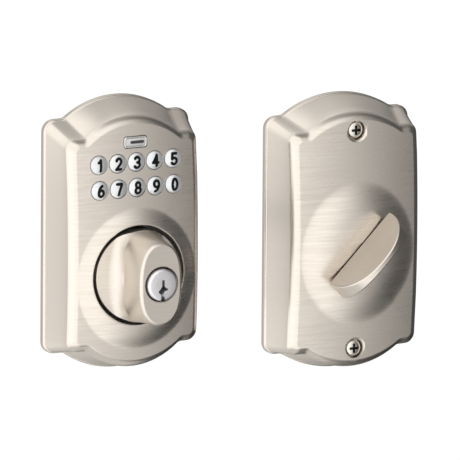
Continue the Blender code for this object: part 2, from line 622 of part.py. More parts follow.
for number in range(1, PIN_COUNT + 1):
    depth = PIN_FIRST_DEPTH - (number - 1) * PIN_PITCH
    key_pin_top = PLUG_RADIUS - 0.1 * MM
    key_pin_low = key_pin_top - KEY_PIN_LENGTHS[number - 1]
    driver_low = CYLINDER_BORE + 0.1 * MM
    driver_high = driver_low + DRIVER_LENGTH
    hole_depth = (0.0, depth)
    plug_hole = cylinder("cut_plug_pin_%d" % number, None, PIN_HOLE, 0.9 * MM, 8.0 * MM, segments=10,
                         offset=hole_depth, upright=True)
    join_or_cut(plug, plug_hole)
    body_hole = cylinder("cut_body_pin_%d" % number, None, PIN_HOLE, 5.0 * MM, CHAMBER_TOP - 1.0 * MM,
                         segments=10, offset=hole_depth, upright=True)
    join_or_cut(cylinder_body, body_hole)
    cylinder("key_pin_%d" % number, "brass", PIN_RADIUS, key_pin_low, key_pin_top, segments=10,
             offset=hole_depth, upright=True)
    cylinder("driver_pin_%d" % number, "brass", PIN_RADIUS, driver_low, driver_high, segments=10,
             offset=hole_depth, upright=True)
    spring("pin_spring_%d" % number, 0.0, depth, driver_high + 0.35 * MM, CHAMBER_TOP - 1.35 * MM,
           0.95 * MM, 0.18 * MM, 3)

# ------------------------------------------------------------------------------------------------
# Inside half
# ------------------------------------------------------------------------------------------------
inside_shape = CoverShape((57.45 * MM, 8.9 * MM, 28.8 * MM, INSIDE_CENTRE_Z),
                          (53.35 * MM, 8.2 * MM, INSIDE_CENTRE_Z - 1.4 * MM), 6.0 * MM,
                          (28.8 * MM, 33.2 * MM, -0.7 * MM))
interior_cover = cover_shell("interior_cover", inside_shape, SPINDLE_HOLE, INSIDE_X)
SCREW_HEIGHTS = (("top", INSIDE_CENTRE_Z + SCREW_MIDDLE + SCREW_OFFSET),
                 ("bottom", INSIDE_CENTRE_Z + SCREW_MIDDLE - SCREW_OFFSET))
RECESS_FLOOR = 17.4 * MM
SCREW_SEAT = RECESS_FLOOR + 0.1 * MM
STANDOFF_FRONT = 15.2 * MM
BOSS_BACK = STANDOFF_FRONT + GAP
for name, height in SCREW_HEIGHTS:
    skin = inside_shape.face(0.0, height)
    screw_top = skin - SCREW_SINK
    boss = cylinder("join_boss_" + name, None, SCREW_RECESS + 1.5 * MM, BOSS_BACK, skin - 0.8 * MM,
                    x=INSIDE_X, z=height, segments=24)
    join_or_cut(interior_cover, boss, "UNION")
    recess = cylinder("cut_recess_" + name, None, SCREW_RECESS, RECESS_FLOOR, 28.0 * MM, x=INSIDE_X, z=height,
                      segments=24)
    join_or_cut(interior_cover, recess)
    shank_hole = cylinder("cut_shank_" + name, None, SCREW_SHANK + 0.4 * MM, 12.0 * MM, 28.0 * MM, x=INSIDE_X,
                          z=height, segments=16)
    join_or_cut(interior_cover, shank_hole)
    screw = turned("cover_screw_" + name, "bright_nickel",
                   [(0.0, screw_top), (2.5 * MM, screw_top - 0.15 * MM), (SCREW_HEAD, screw_top - 0.9 * MM),
                    (SCREW_HEAD, SCREW_SEAT), (SCREW_SHANK, SCREW_SEAT), (SCREW_SHANK, 9.0 * MM),
                    (0.0, 8.0 * MM)], x=INSIDE_X, z=height, steps=24)
    for part, (wide, tall) in (("a", (2.35 * MM, 0.55 * MM)), ("b", (0.55 * MM, 2.35 * MM))):
        slot = box("cut_cross_%s_%s" % (name, part), None, (-wide, -tall, screw_top - 1.5 * MM),
                   (wide, tall, screw_top + 1.0 * MM), x=INSIDE_X, z=height)
        join_or_cut(screw, slot)
    turned("standoff_" + name, "steel",
           [(SCREW_SHANK + 0.25 * MM, STANDOFF_FRONT), (4.4 * MM, STANDOFF_FRONT),
            (4.4 * MM, PLATE_FRONT + 0.1 * MM), (SCREW_SHANK + 0.25 * MM, PLATE_FRONT + 0.1 * MM)],
           x=INSIDE_X, z=height, steps=20, closed=True)

BOLT_SPACING = 20.0 * MM
BOLT_SHANK = 1.7 * MM
plate("interior_mounting_plate", "steel",
      [inside_shape.foot(2.9 * MM), circle(8.5 * MM), circle(BOLT_SHANK + 0.4 * MM, 16, BOLT_SPACING),
       circle(BOLT_SHANK + 0.4 * MM, 16, -BOLT_SPACING)], PLATE_BACK, PLATE_FRONT, x=INSIDE_X)
for side, name in ((-1, "through_bolt_left"), (1, "through_bolt_right")):
    turned(name, "steel", [(0.0, 5.6 * MM), (3.6 * MM, 5.2 * MM), (3.6 * MM, PLATE_FRONT + 0.1 * MM),
                           (BOLT_SHANK, PLATE_FRONT + 0.1 * MM), (BOLT_SHANK, -30.0 * MM),
                           (0.0, -31.0 * MM)], x=INSIDE_X + side * BOLT_SPACING, steps=20)

# The battery lies across the cover above the spindle, in a tray, with its snap at the right-hand end.
BATTERY_LEFT = -24.8 * MM
BATTERY_LENGTH = 46.0 * MM
BATTERY_LOW = 15.0 * MM
BATTERY_HEIGHT = 26.0 * MM
BATTERY_BACK = 3.9 * MM
BATTERY_FRONT = 19.4 * MM
TRAY_WALL = 1.0 * MM
TRAY_BACK = 3.3 * MM
TRAY_FRONT = 9.0 * MM
SNAP_THICKNESS = 3.0 * MM
battery_right = BATTERY_LEFT + BATTERY_LENGTH
battery_top = BATTERY_LOW + BATTERY_HEIGHT
snap_right = battery_right + GAP + SNAP_THICKNESS
box("battery", "battery_blue", (BATTERY_LEFT, BATTERY_LOW, BATTERY_BACK),
    (battery_right, battery_top, BATTERY_FRONT), x=INSIDE_X, bevel=1.2 * MM)
box("battery_snap", "black_plastic", (battery_right + GAP, BATTERY_LOW + 1.5 * MM, BATTERY_BACK + 0.5 * MM),
    (snap_right, battery_top - 1.5 * MM, BATTERY_FRONT - 2.0 * MM), x=INSIDE_X)
tray = box("battery_tray", "black_plastic",
           (BATTERY_LEFT - GAP - TRAY_WALL, BATTERY_LOW - GAP - TRAY_WALL, TRAY_BACK),
           (snap_right + GAP + TRAY_WALL, battery_top + GAP + TRAY_WALL, TRAY_FRONT), x=INSIDE_X)
tray_hollow = box("cut_tray_hollow", None, (BATTERY_LEFT - GAP, BATTERY_LOW - GAP, BATTERY_BACK - 0.1 * MM),
                  (snap_right + GAP, battery_top + GAP, TRAY_FRONT + 1.0 * MM), x=INSIDE_X)
join_or_cut(tray, tray_hollow)

half_round = []
ARC_STEPS = 24
for i in range(ARC_STEPS + 1):
    turn = math.pi * i / ARC_STEPS
    along = math.copysign(abs(math.cos(turn)) ** (2.0 / TURN_POWER), math.cos(turn))
    height = max(0.0, math.sin(turn)) ** (2.0 / TURN_POWER)
    half_round.append((along, height))


def paddle_side(sign):
    """One side of the thumbturn paddle, drawn as a ring that leans in toward the crest."""
    ring = []
    for along, height in half_round:
        swell = (TURN_FOOT_THICKNESS - TURN_CREST_THICKNESS) * (1.0 - height) ** 0.85
        ring.append((along * TURN_RADIUS, sign * (TURN_CREST_THICKNESS + swell) / 2,
                     TURN_FOOT + height * TURN_HEIGHT))
    return ring


thumbturn = loft("interior_thumbturn", "satin_nickel", [paddle_side(-1), paddle_side(1)], x=INSIDE_X,
                 spin=TURN_ANGLE)
spindle = turned("join_spindle", None,
                 [(0.0, TURN_FOOT + 0.6 * MM), (SPINDLE_NECK, TURN_FOOT + 0.6 * MM),
                  (SPINDLE_NECK, SPINDLE_STEP), (SPINDLE_RADIUS, SPINDLE_STEP), (SPINDLE_RADIUS, 2.2 * MM),
                  (0.0, 2.2 * MM)], x=INSIDE_X, steps=24)
join_or_cut(thumbturn, spindle, "UNION")


def underside(half_length, half_thickness, depth):
    """Rectangular section of the narrow underside between the paddle and the dome."""
    corners = ((half_length, half_thickness), (-half_length, half_thickness), (-half_length, -half_thickness),
               (half_length, -half_thickness))
    return at_depth(corners, depth)


narrow_foot = loft("join_narrow_foot", None,
                   [underside(20.6 * MM, 2.7 * MM, 29.2 * MM),
                    underside(22.2 * MM, 5.2 * MM, TURN_FOOT + 0.2 * MM)],
                   x=INSIDE_X, spin=TURN_ANGLE)
join_or_cut(thumbturn, narrow_foot, "UNION")
socket = box("cut_tail_socket", None, (-1.4 * MM, -3.6 * MM, 0.0), (1.4 * MM, 3.6 * MM, 16.0 * MM),
             x=INSIDE_X, spin=TURN_ANGLE)
join_or_cut(thumbturn, socket)
WASHER_BORE = SPINDLE_NECK + 0.25 * MM
turned("thumbturn_washer", "steel",
       [(WASHER_BORE, 26.2 * MM), (8.0 * MM, 25.9 * MM), (8.0 * MM, 25.5 * MM), (WASHER_BORE, 25.8 * MM)],
       x=INSIDE_X, closed=True, steps=24)
turned("thumbturn_clip", "steel",
       [(WASHER_BORE, 25.2 * MM), (6.6 * MM, 25.2 * MM), (6.6 * MM, 24.4 * MM), (WASHER_BORE, 24.4 * MM)],
       x=INSIDE_X, closed=True, steps=24)
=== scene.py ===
"""The looks of the keypad smart lock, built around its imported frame.

Pieces are drawn in the frame's own axes: +X right, -Y out of the front, +Z up. "Depth" is the
distance in front of the door plane, so a point at depth d has y = -d. The outside half's lock axis
is at x = z = 0, and the inside half's at x = spindle_axis, z = 0.
"""
import math

import bmesh
import bpy
from mathutils import Matrix, Vector

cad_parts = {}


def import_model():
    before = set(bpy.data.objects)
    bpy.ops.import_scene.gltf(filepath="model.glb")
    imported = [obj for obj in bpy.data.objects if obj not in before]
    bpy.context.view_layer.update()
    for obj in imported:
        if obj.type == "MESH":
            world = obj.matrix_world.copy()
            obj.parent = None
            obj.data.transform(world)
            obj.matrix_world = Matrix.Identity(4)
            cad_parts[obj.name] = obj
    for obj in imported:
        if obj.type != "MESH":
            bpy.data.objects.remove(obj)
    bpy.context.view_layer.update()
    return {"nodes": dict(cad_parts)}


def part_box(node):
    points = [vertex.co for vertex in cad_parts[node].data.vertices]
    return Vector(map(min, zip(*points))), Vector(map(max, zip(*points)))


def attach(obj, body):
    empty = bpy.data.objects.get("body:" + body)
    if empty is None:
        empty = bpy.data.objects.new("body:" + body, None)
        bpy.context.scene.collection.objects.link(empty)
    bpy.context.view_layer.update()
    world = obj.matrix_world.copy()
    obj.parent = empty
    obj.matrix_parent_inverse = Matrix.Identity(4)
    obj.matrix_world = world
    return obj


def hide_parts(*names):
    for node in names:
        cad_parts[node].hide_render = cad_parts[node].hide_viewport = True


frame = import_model()
nodes = frame["nodes"]

MM = 0.001
HOUSING = "housing"

# ------------------------------------------------------------------------------------------------
# Places read from the frame
# ------------------------------------------------------------------------------------------------
outside_low, outside_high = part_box("exterior_escutcheon")
inside_low, inside_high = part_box("interior_cover")
knob_low, knob_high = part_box("outside_turn")
plug_low, plug_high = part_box("cylinder_plug")
button_low, button_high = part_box("status_button")
clip_low, clip_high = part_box("thumbturn_clip")
spindle_axis = (clip_low[0] + clip_high[0]) / 2
outside_middle = (outside_low[2] + outside_high[2]) / 2
inside_middle = (inside_low[2] + inside_high[2]) / 2
FOOT_HALF_WIDTH = (outside_high[0] - outside_low[0]) / 2
KNOB_RADIUS = (knob_high[0] - knob_low[0]) / 2
KNOB_FACE = -knob_low[1]
PLUG_FRONT = -plug_low[1]
PLUG_HEAD_RADIUS = (plug_high[0] - plug_low[0]) / 2

# Shape of the two cast covers, from the foot on the door up to the dome.
FOOT_CORNER = 5.8 * MM
FOOT_FILLET = 5.0 * MM
RIM_EASE = 0.25 * MM
RIM_DEPTH = 2.6 * MM
LIP_DEPTH = 3.6 * MM
LIP_INSET = 0.8 * MM
SLOPE_POWER = 1.12
PANEL_HALF_WIDTH = 34.2 * MM
PANEL_CORNER = 5.1 * MM
PANEL_SPRING = 24.5 * MM
PANEL_FILLET = 4.0 * MM
PANEL_WALL = 3.7 * MM
PANEL_ROUND_IN = 3.7 * MM
BEVEL_LEAN = 0.3
FACE_DEPTH = 26.0 * MM
FACE_CROWN_Z = 3.4 * MM
FACE_CROWN_X = 1.6 * MM
CROWN_HALF_HEIGHT = 60.0 * MM
CROWN_HALF_WIDTH = 33.0 * MM
DOME_HEIGHT = 2.5 * MM
HOLE_ROUND = 0.6 * MM
WALL = 2.0 * MM
KNOB_HOLE = 23.7 * MM
SPINDLE_HOLE = 2.8 * MM

# Depths between which cutters go through a cover's front, clear of both sides.
CUT_BACK = 12.0 * MM
CUT_FRONT = 30.0 * MM


# ------------------------------------------------------------------------------------------------
# Mesh helpers
# ------------------------------------------------------------------------------------------------
def world(x, z, depth):
    """Point at a place on the front and a depth."""
    return Vector((x, -depth, z))


def new_object(name, bm, sharp=35.0):
    """Turns a bmesh into a smooth-shaded object with sharp edges above an angle."""
    bm.normal_update()
    mesh = bpy.data.meshes.new(name)
    bm.to_mesh(mesh)
    bm.free()
    mesh.shade_smooth()
    mesh.set_sharp_from_angle(angle=math.radians(sharp))
    obj = bpy.data.objects.new(name, mesh)
    bpy.context.scene.collection.objects.link(obj)
    return obj


def loft(name, rings, closed=False, sharp=35.0):
    """Skins rings of equal counts, given as world points, into one closed body."""
    bm = bmesh.new()
    rows = [[bm.verts.new(point) for point in ring] for ring in rings]
    pairs = list(zip(rows, rows[1:]))
    if closed:
        pairs.append((rows[-1], rows[0]))
    for lower, upper in pairs:
        for i in range(len(lower)):
            j = (i + 1) % len(lower)
            bm.faces.new((lower[i], lower[j], upper[j], upper[i]))
    if not closed:
        bm.faces.new(list(reversed(rows[0])))
        bm.faces.new(rows[-1])
    bmesh.ops.recalc_face_normals(bm, faces=bm.faces)
    return new_object(name, bm, sharp)


def turned(name, profile, x, z, steps=64, sharp=35.0):
    """Turned body around the depth axis at (x, z), from a (radius, depth) profile between poles."""
    rings = []
    for radius, depth in profile:
        radius = max(radius, 0.01 * MM)
        rings.append([world(x + radius * math.cos(2 * math.pi * i / steps),
                            z + radius * math.sin(2 * math.pi * i / steps), depth)
                      for i in range(steps)])
    return loft(name, rings, sharp=sharp)


def rod(name, radius, x, z, back, front, steps):
    """Plain round bar between two depths."""
    return turned(name, [(0.0, back), (radius, back), (radius, front), (0.0, front)], x, z, steps)


def prism(name, outline, x, z, back, front, tip_scale=1.0):
    """Straight or tapered bar of an outline, between two depths."""
    lower = [world(x + px * tip_scale, z + py * tip_scale, back) for px, py in outline]
    upper = [world(x + px, z + py, front) for px, py in outline]
    return loft(name, [lower, upper])


def boolean(obj, tool, operation="DIFFERENCE"):
    """Cuts the tool out of the object for good, and removes the tool."""
    modifier = obj.modifiers.new("cut", "BOOLEAN")
    modifier.operation = operation
    modifier.solver = "EXACT"
    modifier.object = tool
    bpy.context.view_layer.update()
    graph = bpy.context.evaluated_depsgraph_get()
    cut = bpy.data.meshes.new_from_object(obj.evaluated_get(graph))
    obj.modifiers.remove(modifier)
    old = obj.data
    obj.data = cut
    bpy.data.meshes.remove(old)
    bpy.data.objects.remove(tool, do_unlink=True)


def reshade(obj, sharp=32.0):
    """Smooth shading with sharp edges again, after cuts have made new faces."""
    obj.data.shade_smooth()
    obj.data.set_sharp_from_angle(angle=math.radians(sharp))


def soften(obj, width):
    """Small round on every edge sharper than 30 degrees."""
    modifier = obj.modifiers.new("soft_edges", "BEVEL")
    modifier.width = width
    modifier.segments = 3
    modifier.limit_method = "ANGLE"
    modifier.angle_limit = math.radians(30.0)
    modifier.harden_normals = False


def arc(cx, cy, radius, start, end, count):
    step = (end - start) / (count - 1)
    return [(cx + radius * math.cos(start + i * step), cy + radius * math.sin(start + i * step))
            for i in range(count)]


def rounded_rectangle(half_width, half_height, radius, count=8):
    points = []
    for sx, sy, start in ((1, 1, 0.0), (-1, 1, 0.5), (-1, -1, 1.0), (1, -1, 1.5)):
        points += arc(sx * (half_width - radius), sy * (half_height - radius), radius,
                      start * math.pi, (start + 0.5) * math.pi, count)
    return points


# ------------------------------------------------------------------------------------------------
# Materials
# ------------------------------------------------------------------------------------------------
class Nodes:
    """A material's node tree, with short calls for the nodes used here."""

    def __init__(self, name):
        self.material = bpy.data.materials.new(name)
        self.material.use_nodes = True
        self.tree = self.material.node_tree
        self.shader = self.tree.nodes["Principled BSDF"]

    def set(self, **values):
        """Sets the shader's inputs by name."""
        for key, value in values.items():
            self.shader.inputs[key.replace("_", " ")].default_value = value

    def add(self, kind, **settings):
        node = self.tree.nodes.new(kind)
        for key, value in settings.items():
            if key in node.inputs.keys():
                node.inputs[key].default_value = value
            else:
                setattr(node, key, value)
        return node

    def link(self, source, target):
        self.tree.links.new(source, target)

    def noise(self, scale, detail=3.0, roughness=0.5):
        """Noise stretched by a scale for each axis, in cells per metre."""
        place = self.add("ShaderNodeTexCoord")
        mapping = self.add("ShaderNodeMapping")
        mapping.inputs["Scale"].default_value = scale
        noise = self.add("ShaderNodeTexNoise", Scale=1.0, Detail=detail, Roughness=roughness)
        self.link(place.outputs["Object"], mapping.inputs["Vector"])
        self.link(mapping.outputs["Vector"], noise.inputs["Vector"])
        return noise.outputs["Fac"]

    def remap(self, value, low, high, start=0.0, end=1.0):
        """Takes a value between start and end to one between low and high."""
        node = self.add("ShaderNodeMapRange")
        node.inputs["From Min"].default_value = start
        node.inputs["From Max"].default_value = end
        node.inputs["To Min"].default_value = low
        node.inputs["To Max"].default_value = high
        self.link(value, node.inputs["Value"])
        return node.outputs["Result"]

    def mix(self, share, first, second):
        node = self.add("ShaderNodeMix", data_type="RGBA")
        node.inputs["A"].default_value = (*first, 1.0)
        node.inputs["B"].default_value = (*second, 1.0)
        self.link(share, node.inputs["Factor"])
        return node.outputs["Result"]

    def math(self, operation, first, second):
        node = self.add("ShaderNodeMath", operation=operation)
        for socket, value in zip(node.inputs, (first, second)):
            if isinstance(value, float):
                socket.default_value = value
            else:
                self.link(value, socket)
        return node.outputs["Value"]

    def bump(self, height, strength, distance):
        node = self.add("ShaderNodeBump")
        node.inputs["Strength"].default_value = strength
        node.inputs["Distance"].default_value = distance
        self.link(height, node.inputs["Height"])
        self.link(node.outputs["Normal"], self.shader.inputs["Normal"])


def brushed_nickel(name, light, dark, roughness=0.3, grain=1.0):
    """Satin nickel with fine brush lines along X on the surfaces that face the front."""
    n = Nodes(name)
    n.set(Metallic=1.0, Anisotropic=0.35)
    tangent = n.add("ShaderNodeTangent", direction_type="RADIAL", axis="Z")
    n.link(tangent.outputs["Tangent"], n.shader.inputs["Tangent"])
    fine = n.noise((90.0, 90.0, 2600.0), 3.0, 0.6)
    broad = n.noise((26.0, 40.0, 700.0), 2.0, 0.5)
    lines = n.math("ADD", n.math("MULTIPLY", fine, 0.55), n.math("MULTIPLY", broad, 0.45))
    facing = n.add("ShaderNodeNewGeometry")
    split = n.add("ShaderNodeSeparateXYZ")
    n.link(facing.outputs["Normal"], split.inputs["Vector"])
    front = n.remap(n.math("ABSOLUTE", split.outputs["Y"], 0.0), 0.15, 1.0, 0.55, 0.95)
    centred = n.math("MULTIPLY", n.math("SUBTRACT", lines, 0.5), front)
    share = n.remap(centred, 0.0, 1.0, -0.22, 0.22)
    n.link(n.mix(share, dark, light), n.shader.inputs["Base Color"])
    n.link(n.remap(centred, roughness + 0.06, roughness - 0.04, -0.2, 0.2),
           n.shader.inputs["Roughness"])
    n.bump(centred, 0.35 * grain, 0.00006)
    return n.material


def plain_metal(name, light, dark, roughness, metallic=1.0, scale=160.0, bump=0.15):
    """Metal with faint mottling and a fine uneven surface."""
    n = Nodes(name)
    n.set(Metallic=metallic)
    cloud = n.noise((scale, scale, scale), 4.0, 0.55)
    grit = n.noise((3200.0, 3200.0, 3200.0), 2.0, 0.5)
    n.link(n.mix(n.remap(cloud, 0.0, 1.0, 0.3, 0.7), dark, light), n.shader.inputs["Base Color"])
    n.link(n.remap(grit, roughness - 0.05, roughness + 0.07, 0.3, 0.7),
           n.shader.inputs["Roughness"])
    n.bump(grit, bump, 0.00003)
    return n.material


def moulded(name, light, dark, roughness, grit_size=2400.0, bump=0.25):
    """Plastic or rubber with a fine moulded grain."""
    n = Nodes(name)
    n.set(Metallic=0.0)
    grit = n.noise((grit_size, grit_size, grit_size), 3.0, 0.55)
    cloud = n.noise((90.0, 90.0, 90.0), 2.0, 0.5)
    n.link(n.mix(n.remap(cloud, 0.0, 1.0, 0.3, 0.7), dark, light), n.shader.inputs["Base Color"])
    n.link(n.remap(grit, roughness - 0.06, roughness + 0.06, 0.3, 0.7),
           n.shader.inputs["Roughness"])
    n.bump(grit, bump, 0.00004)
    return n.material


satin = brushed_nickel("satin_nickel", (0.80, 0.745, 0.68), (0.66, 0.61, 0.55), 0.28)
knob_satin = brushed_nickel("knob_nickel", (0.77, 0.72, 0.655), (0.67, 0.62, 0.565), 0.3, 0.4)
# Darker copy of the knob nickel for the paddle's flat sides: painted shade.
paddle_side_painted_shade = brushed_nickel("paddle_nickel_painted_shade", (0.55, 0.51, 0.46), (0.46, 0.42, 0.38), 0.26, 0.7)
key_silver = plain_metal("key_silver", (0.78, 0.80, 0.82), (0.70, 0.72, 0.74), 0.36, 0.6)
digit_black = moulded("digit_black", (0.006, 0.006, 0.007), (0.003, 0.003, 0.004), 0.75)
digit_shader = digit_black.node_tree.nodes["Principled BSDF"]
digit_shader.inputs["Specular IOR Level"].default_value = 0.2
frame_bright = plain_metal("badge_frame", (0.88, 0.87, 0.85), (0.80, 0.79, 0.77), 0.22)
lens_grey = moulded("badge_lens", (0.62, 0.62, 0.62), (0.52, 0.52, 0.52), 0.3)
strip_dark = moulded("badge_strip", (0.05, 0.05, 0.055), (0.03, 0.03, 0.033), 0.35)
plug_nickel = plain_metal("plug_nickel", (0.80, 0.79, 0.82), (0.76, 0.75, 0.78), 0.3, 0.9)
# Near black for inside the screws' cross: painted shade in the recess.
cross_painted_shade = plain_metal("cross_recess_painted_shade", (0.10, 0.095, 0.09), (0.07, 0.066, 0.06), 0.4)
screw_nickel = plain_metal("screw_nickel", (0.80, 0.77, 0.72), (0.66, 0.63, 0.58), 0.25)
zinc = plain_metal("zinc_plated_steel", (0.62, 0.63, 0.64), (0.48, 0.49, 0.51), 0.36)
spring_steel = plain_metal("spring_steel", (0.55, 0.55, 0.56), (0.42, 0.42, 0.43), 0.3)
brass = plain_metal("brass", (0.76, 0.58, 0.28), (0.62, 0.45, 0.20), 0.3)
# Near black for the cylinder body: painted shade for the dark gap round the plug.
brass_painted_shade = plain_metal("brass_painted_shade_dark", (0.05, 0.045, 0.04), (0.03, 0.028, 0.025), 0.5)
gasket_rubber = moulded("gasket_rubber", (0.03, 0.03, 0.03), (0.018, 0.018, 0.018), 0.8, 1400.0,
                        0.5)
silicone = moulded("silicone", (0.46, 0.47, 0.48), (0.38, 0.39, 0.40), 0.6)
board_green = moulded("board_green", (0.04, 0.22, 0.10), (0.02, 0.14, 0.06), 0.4)
led_clear = moulded("led_clear", (0.9, 0.9, 0.85), (0.8, 0.8, 0.76), 0.25)
sleeve_blue = moulded("battery_sleeve", (0.06, 0.11, 0.30), (0.04, 0.07, 0.20), 0.35)
black_plastic = moulded("black_plastic", (0.04, 0.04, 0.04), (0.025, 0.025, 0.025), 0.5)

PIN_CHAMBERS = range(1, 6)
CARRIED_OVER = {
    zinc: ("exterior_back_plate", "interior_mounting_plate", "post_left", "post_right", "tailpiece",
           "standoff_top", "standoff_bottom", "through_bolt_left", "through_bolt_right",
           "clutch_motor", "clutch_worm", "clutch_pin"),
    spring_steel: ("turn_retaining_ring", "cylinder_clip", "thumbturn_washer", "thumbturn_clip",
                   *(f"pin_spring_{chamber}" for chamber in PIN_CHAMBERS)),
    brass: ("clutch_ring", *(f"key_pin_{chamber}" for chamber in PIN_CHAMBERS),
            *(f"driver_pin_{chamber}" for chamber in PIN_CHAMBERS)),
    # Cylinder body painted near black: painted shade in the gap round the plug.
    brass_painted_shade: ("cylinder_body",),
    gasket_rubber: ("exterior_gasket",),
    silicone: ("keypad_membrane",),
    board_green: ("keypad_board",),
    led_clear: ("indicator_led",),
    sleeve_blue: ("battery",),
    black_plastic: ("battery_snap", "battery_tray"),
}
for material, names in CARRIED_OVER.items():
    for name in names:
        material_slot = nodes[name].material_slots[0]
        material_slot.link = "OBJECT"
        material_slot.material = material


def dress(obj, material, body, *replaced):
    """Gives a piece its material, rides it on its body, and hides the CAD nodes it stands for."""
    obj.data.materials.clear()
    obj.data.materials.append(material)
    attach(obj, body)
    if replaced:
        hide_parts(*replaced)
    return obj


# ------------------------------------------------------------------------------------------------
# The two cast covers
# ------------------------------------------------------------------------------------------------
def arched_outline(half_width, shoulder, rise, corner, spring, fillet, centre):
    """Closed outline with an arch at its top and bottom between square shoulders, clockwise.

    The arch spans the spring on each side of the middle and stands its rise above the shoulders,
    and a fillet leads from it into each shoulder.
    """
    radius = (spring * spring + rise * rise) / (2 * rise)
    arch_z = shoulder + rise - radius
    fillet_z = shoulder + fillet
    fillet_x = math.sqrt((radius + fillet) ** 2 - (fillet_z - arch_z) ** 2)
    meet = math.atan2(fillet_z - arch_z, fillet_x)
    quarter = arc(0.0, arch_z, radius, math.pi / 2, meet, 22)
    quarter += arc(fillet_x, fillet_z, fillet, math.pi + meet, 1.5 * math.pi, 8)[1:]
    quarter += arc(half_width - corner, shoulder - corner, corner, math.pi / 2, 0.0, 9)
    side = [(half_width, half_width * math.tan(math.radians(degrees)) - centre)
            for degrees in range(52, -40, -4)]
    right = quarter + side + [(px, -pz) for px, pz in reversed(quarter)]
    left = [(-px, pz) for px, pz in reversed(right[1:-1])]
    return [(px, pz + centre) for px, pz in right + left]


class CoverShape:
    """Outlines and face depths of one cast cover, in its own axes from the lock axis."""

    def __init__(self, foot, panel, crown_centre, dome):
        self.foot_shoulder, self.foot_rise, self.foot_spring, self.foot_centre = foot
        self.panel_shoulder, self.panel_rise, self.panel_centre = panel
        self.crown_centre = crown_centre
        self.dome_half_width, self.dome_half_height, self.dome_centre = dome[:3]
        self.dome_power, self.dome_fade = dome[3:]

    def foot(self, inset):
        return arched_outline(FOOT_HALF_WIDTH - inset, self.foot_shoulder - inset, self.foot_rise,
                              FOOT_CORNER - inset * 0.6, self.foot_spring, FOOT_FILLET,
                              self.foot_centre)

    def panel(self, inset):
        return arched_outline(PANEL_HALF_WIDTH - inset, self.panel_shoulder - inset,
                              self.panel_rise, PANEL_CORNER - inset * 0.7, PANEL_SPRING,
                              PANEL_FILLET, self.panel_centre)

    def dome_reach(self, px, pz):
        """Distance from the dome's middle, as a share of the dome's own size."""
        return math.hypot(px / self.dome_half_width,
                          (pz - self.dome_centre) / self.dome_half_height)

    def face(self, px, pz):
        """Depth of the crowned panel with its low dome, which rolls over near its edge."""
        up = (pz - self.crown_centre) / CROWN_HALF_HEIGHT
        across = px / CROWN_HALF_WIDTH
        flat = FACE_DEPTH - FACE_CROWN_Z * up * up - FACE_CROWN_X * across * across
        swell = max(0.0, 1.0 - self.dome_reach(px, pz) ** self.dome_power)
        return flat + DOME_HEIGHT * swell ** self.dome_fade

    def dome_ring(self, outer, scale):
        """The dome's own outline, scaled, at the angles of an outer ring and always inside it."""
        points = []
        for px, pz in outer:
            share = min(0.985 + 0.01 * (scale - 1.0), scale / self.dome_reach(px, pz))
            points.append((px * share, self.dome_centre + (pz - self.dome_centre) * share))
        return points


def blended(first, second, share):
    """Ring part of the way from a first to a second one."""
    return [(ax + (bx - ax) * share, az + (bz - az) * share)
            for (ax, az), (bx, bz) in zip(first, second)]


def pulled_in(ring, radius, most=1.0):
    """Each point pulled toward the lock axis, to a radius or to a share of its distance if less."""
    points = []
    for px, pz in ring:
        length = math.hypot(px, pz)
        share = min(most, radius / length)
        points.append((px * share, pz * share))
    return points


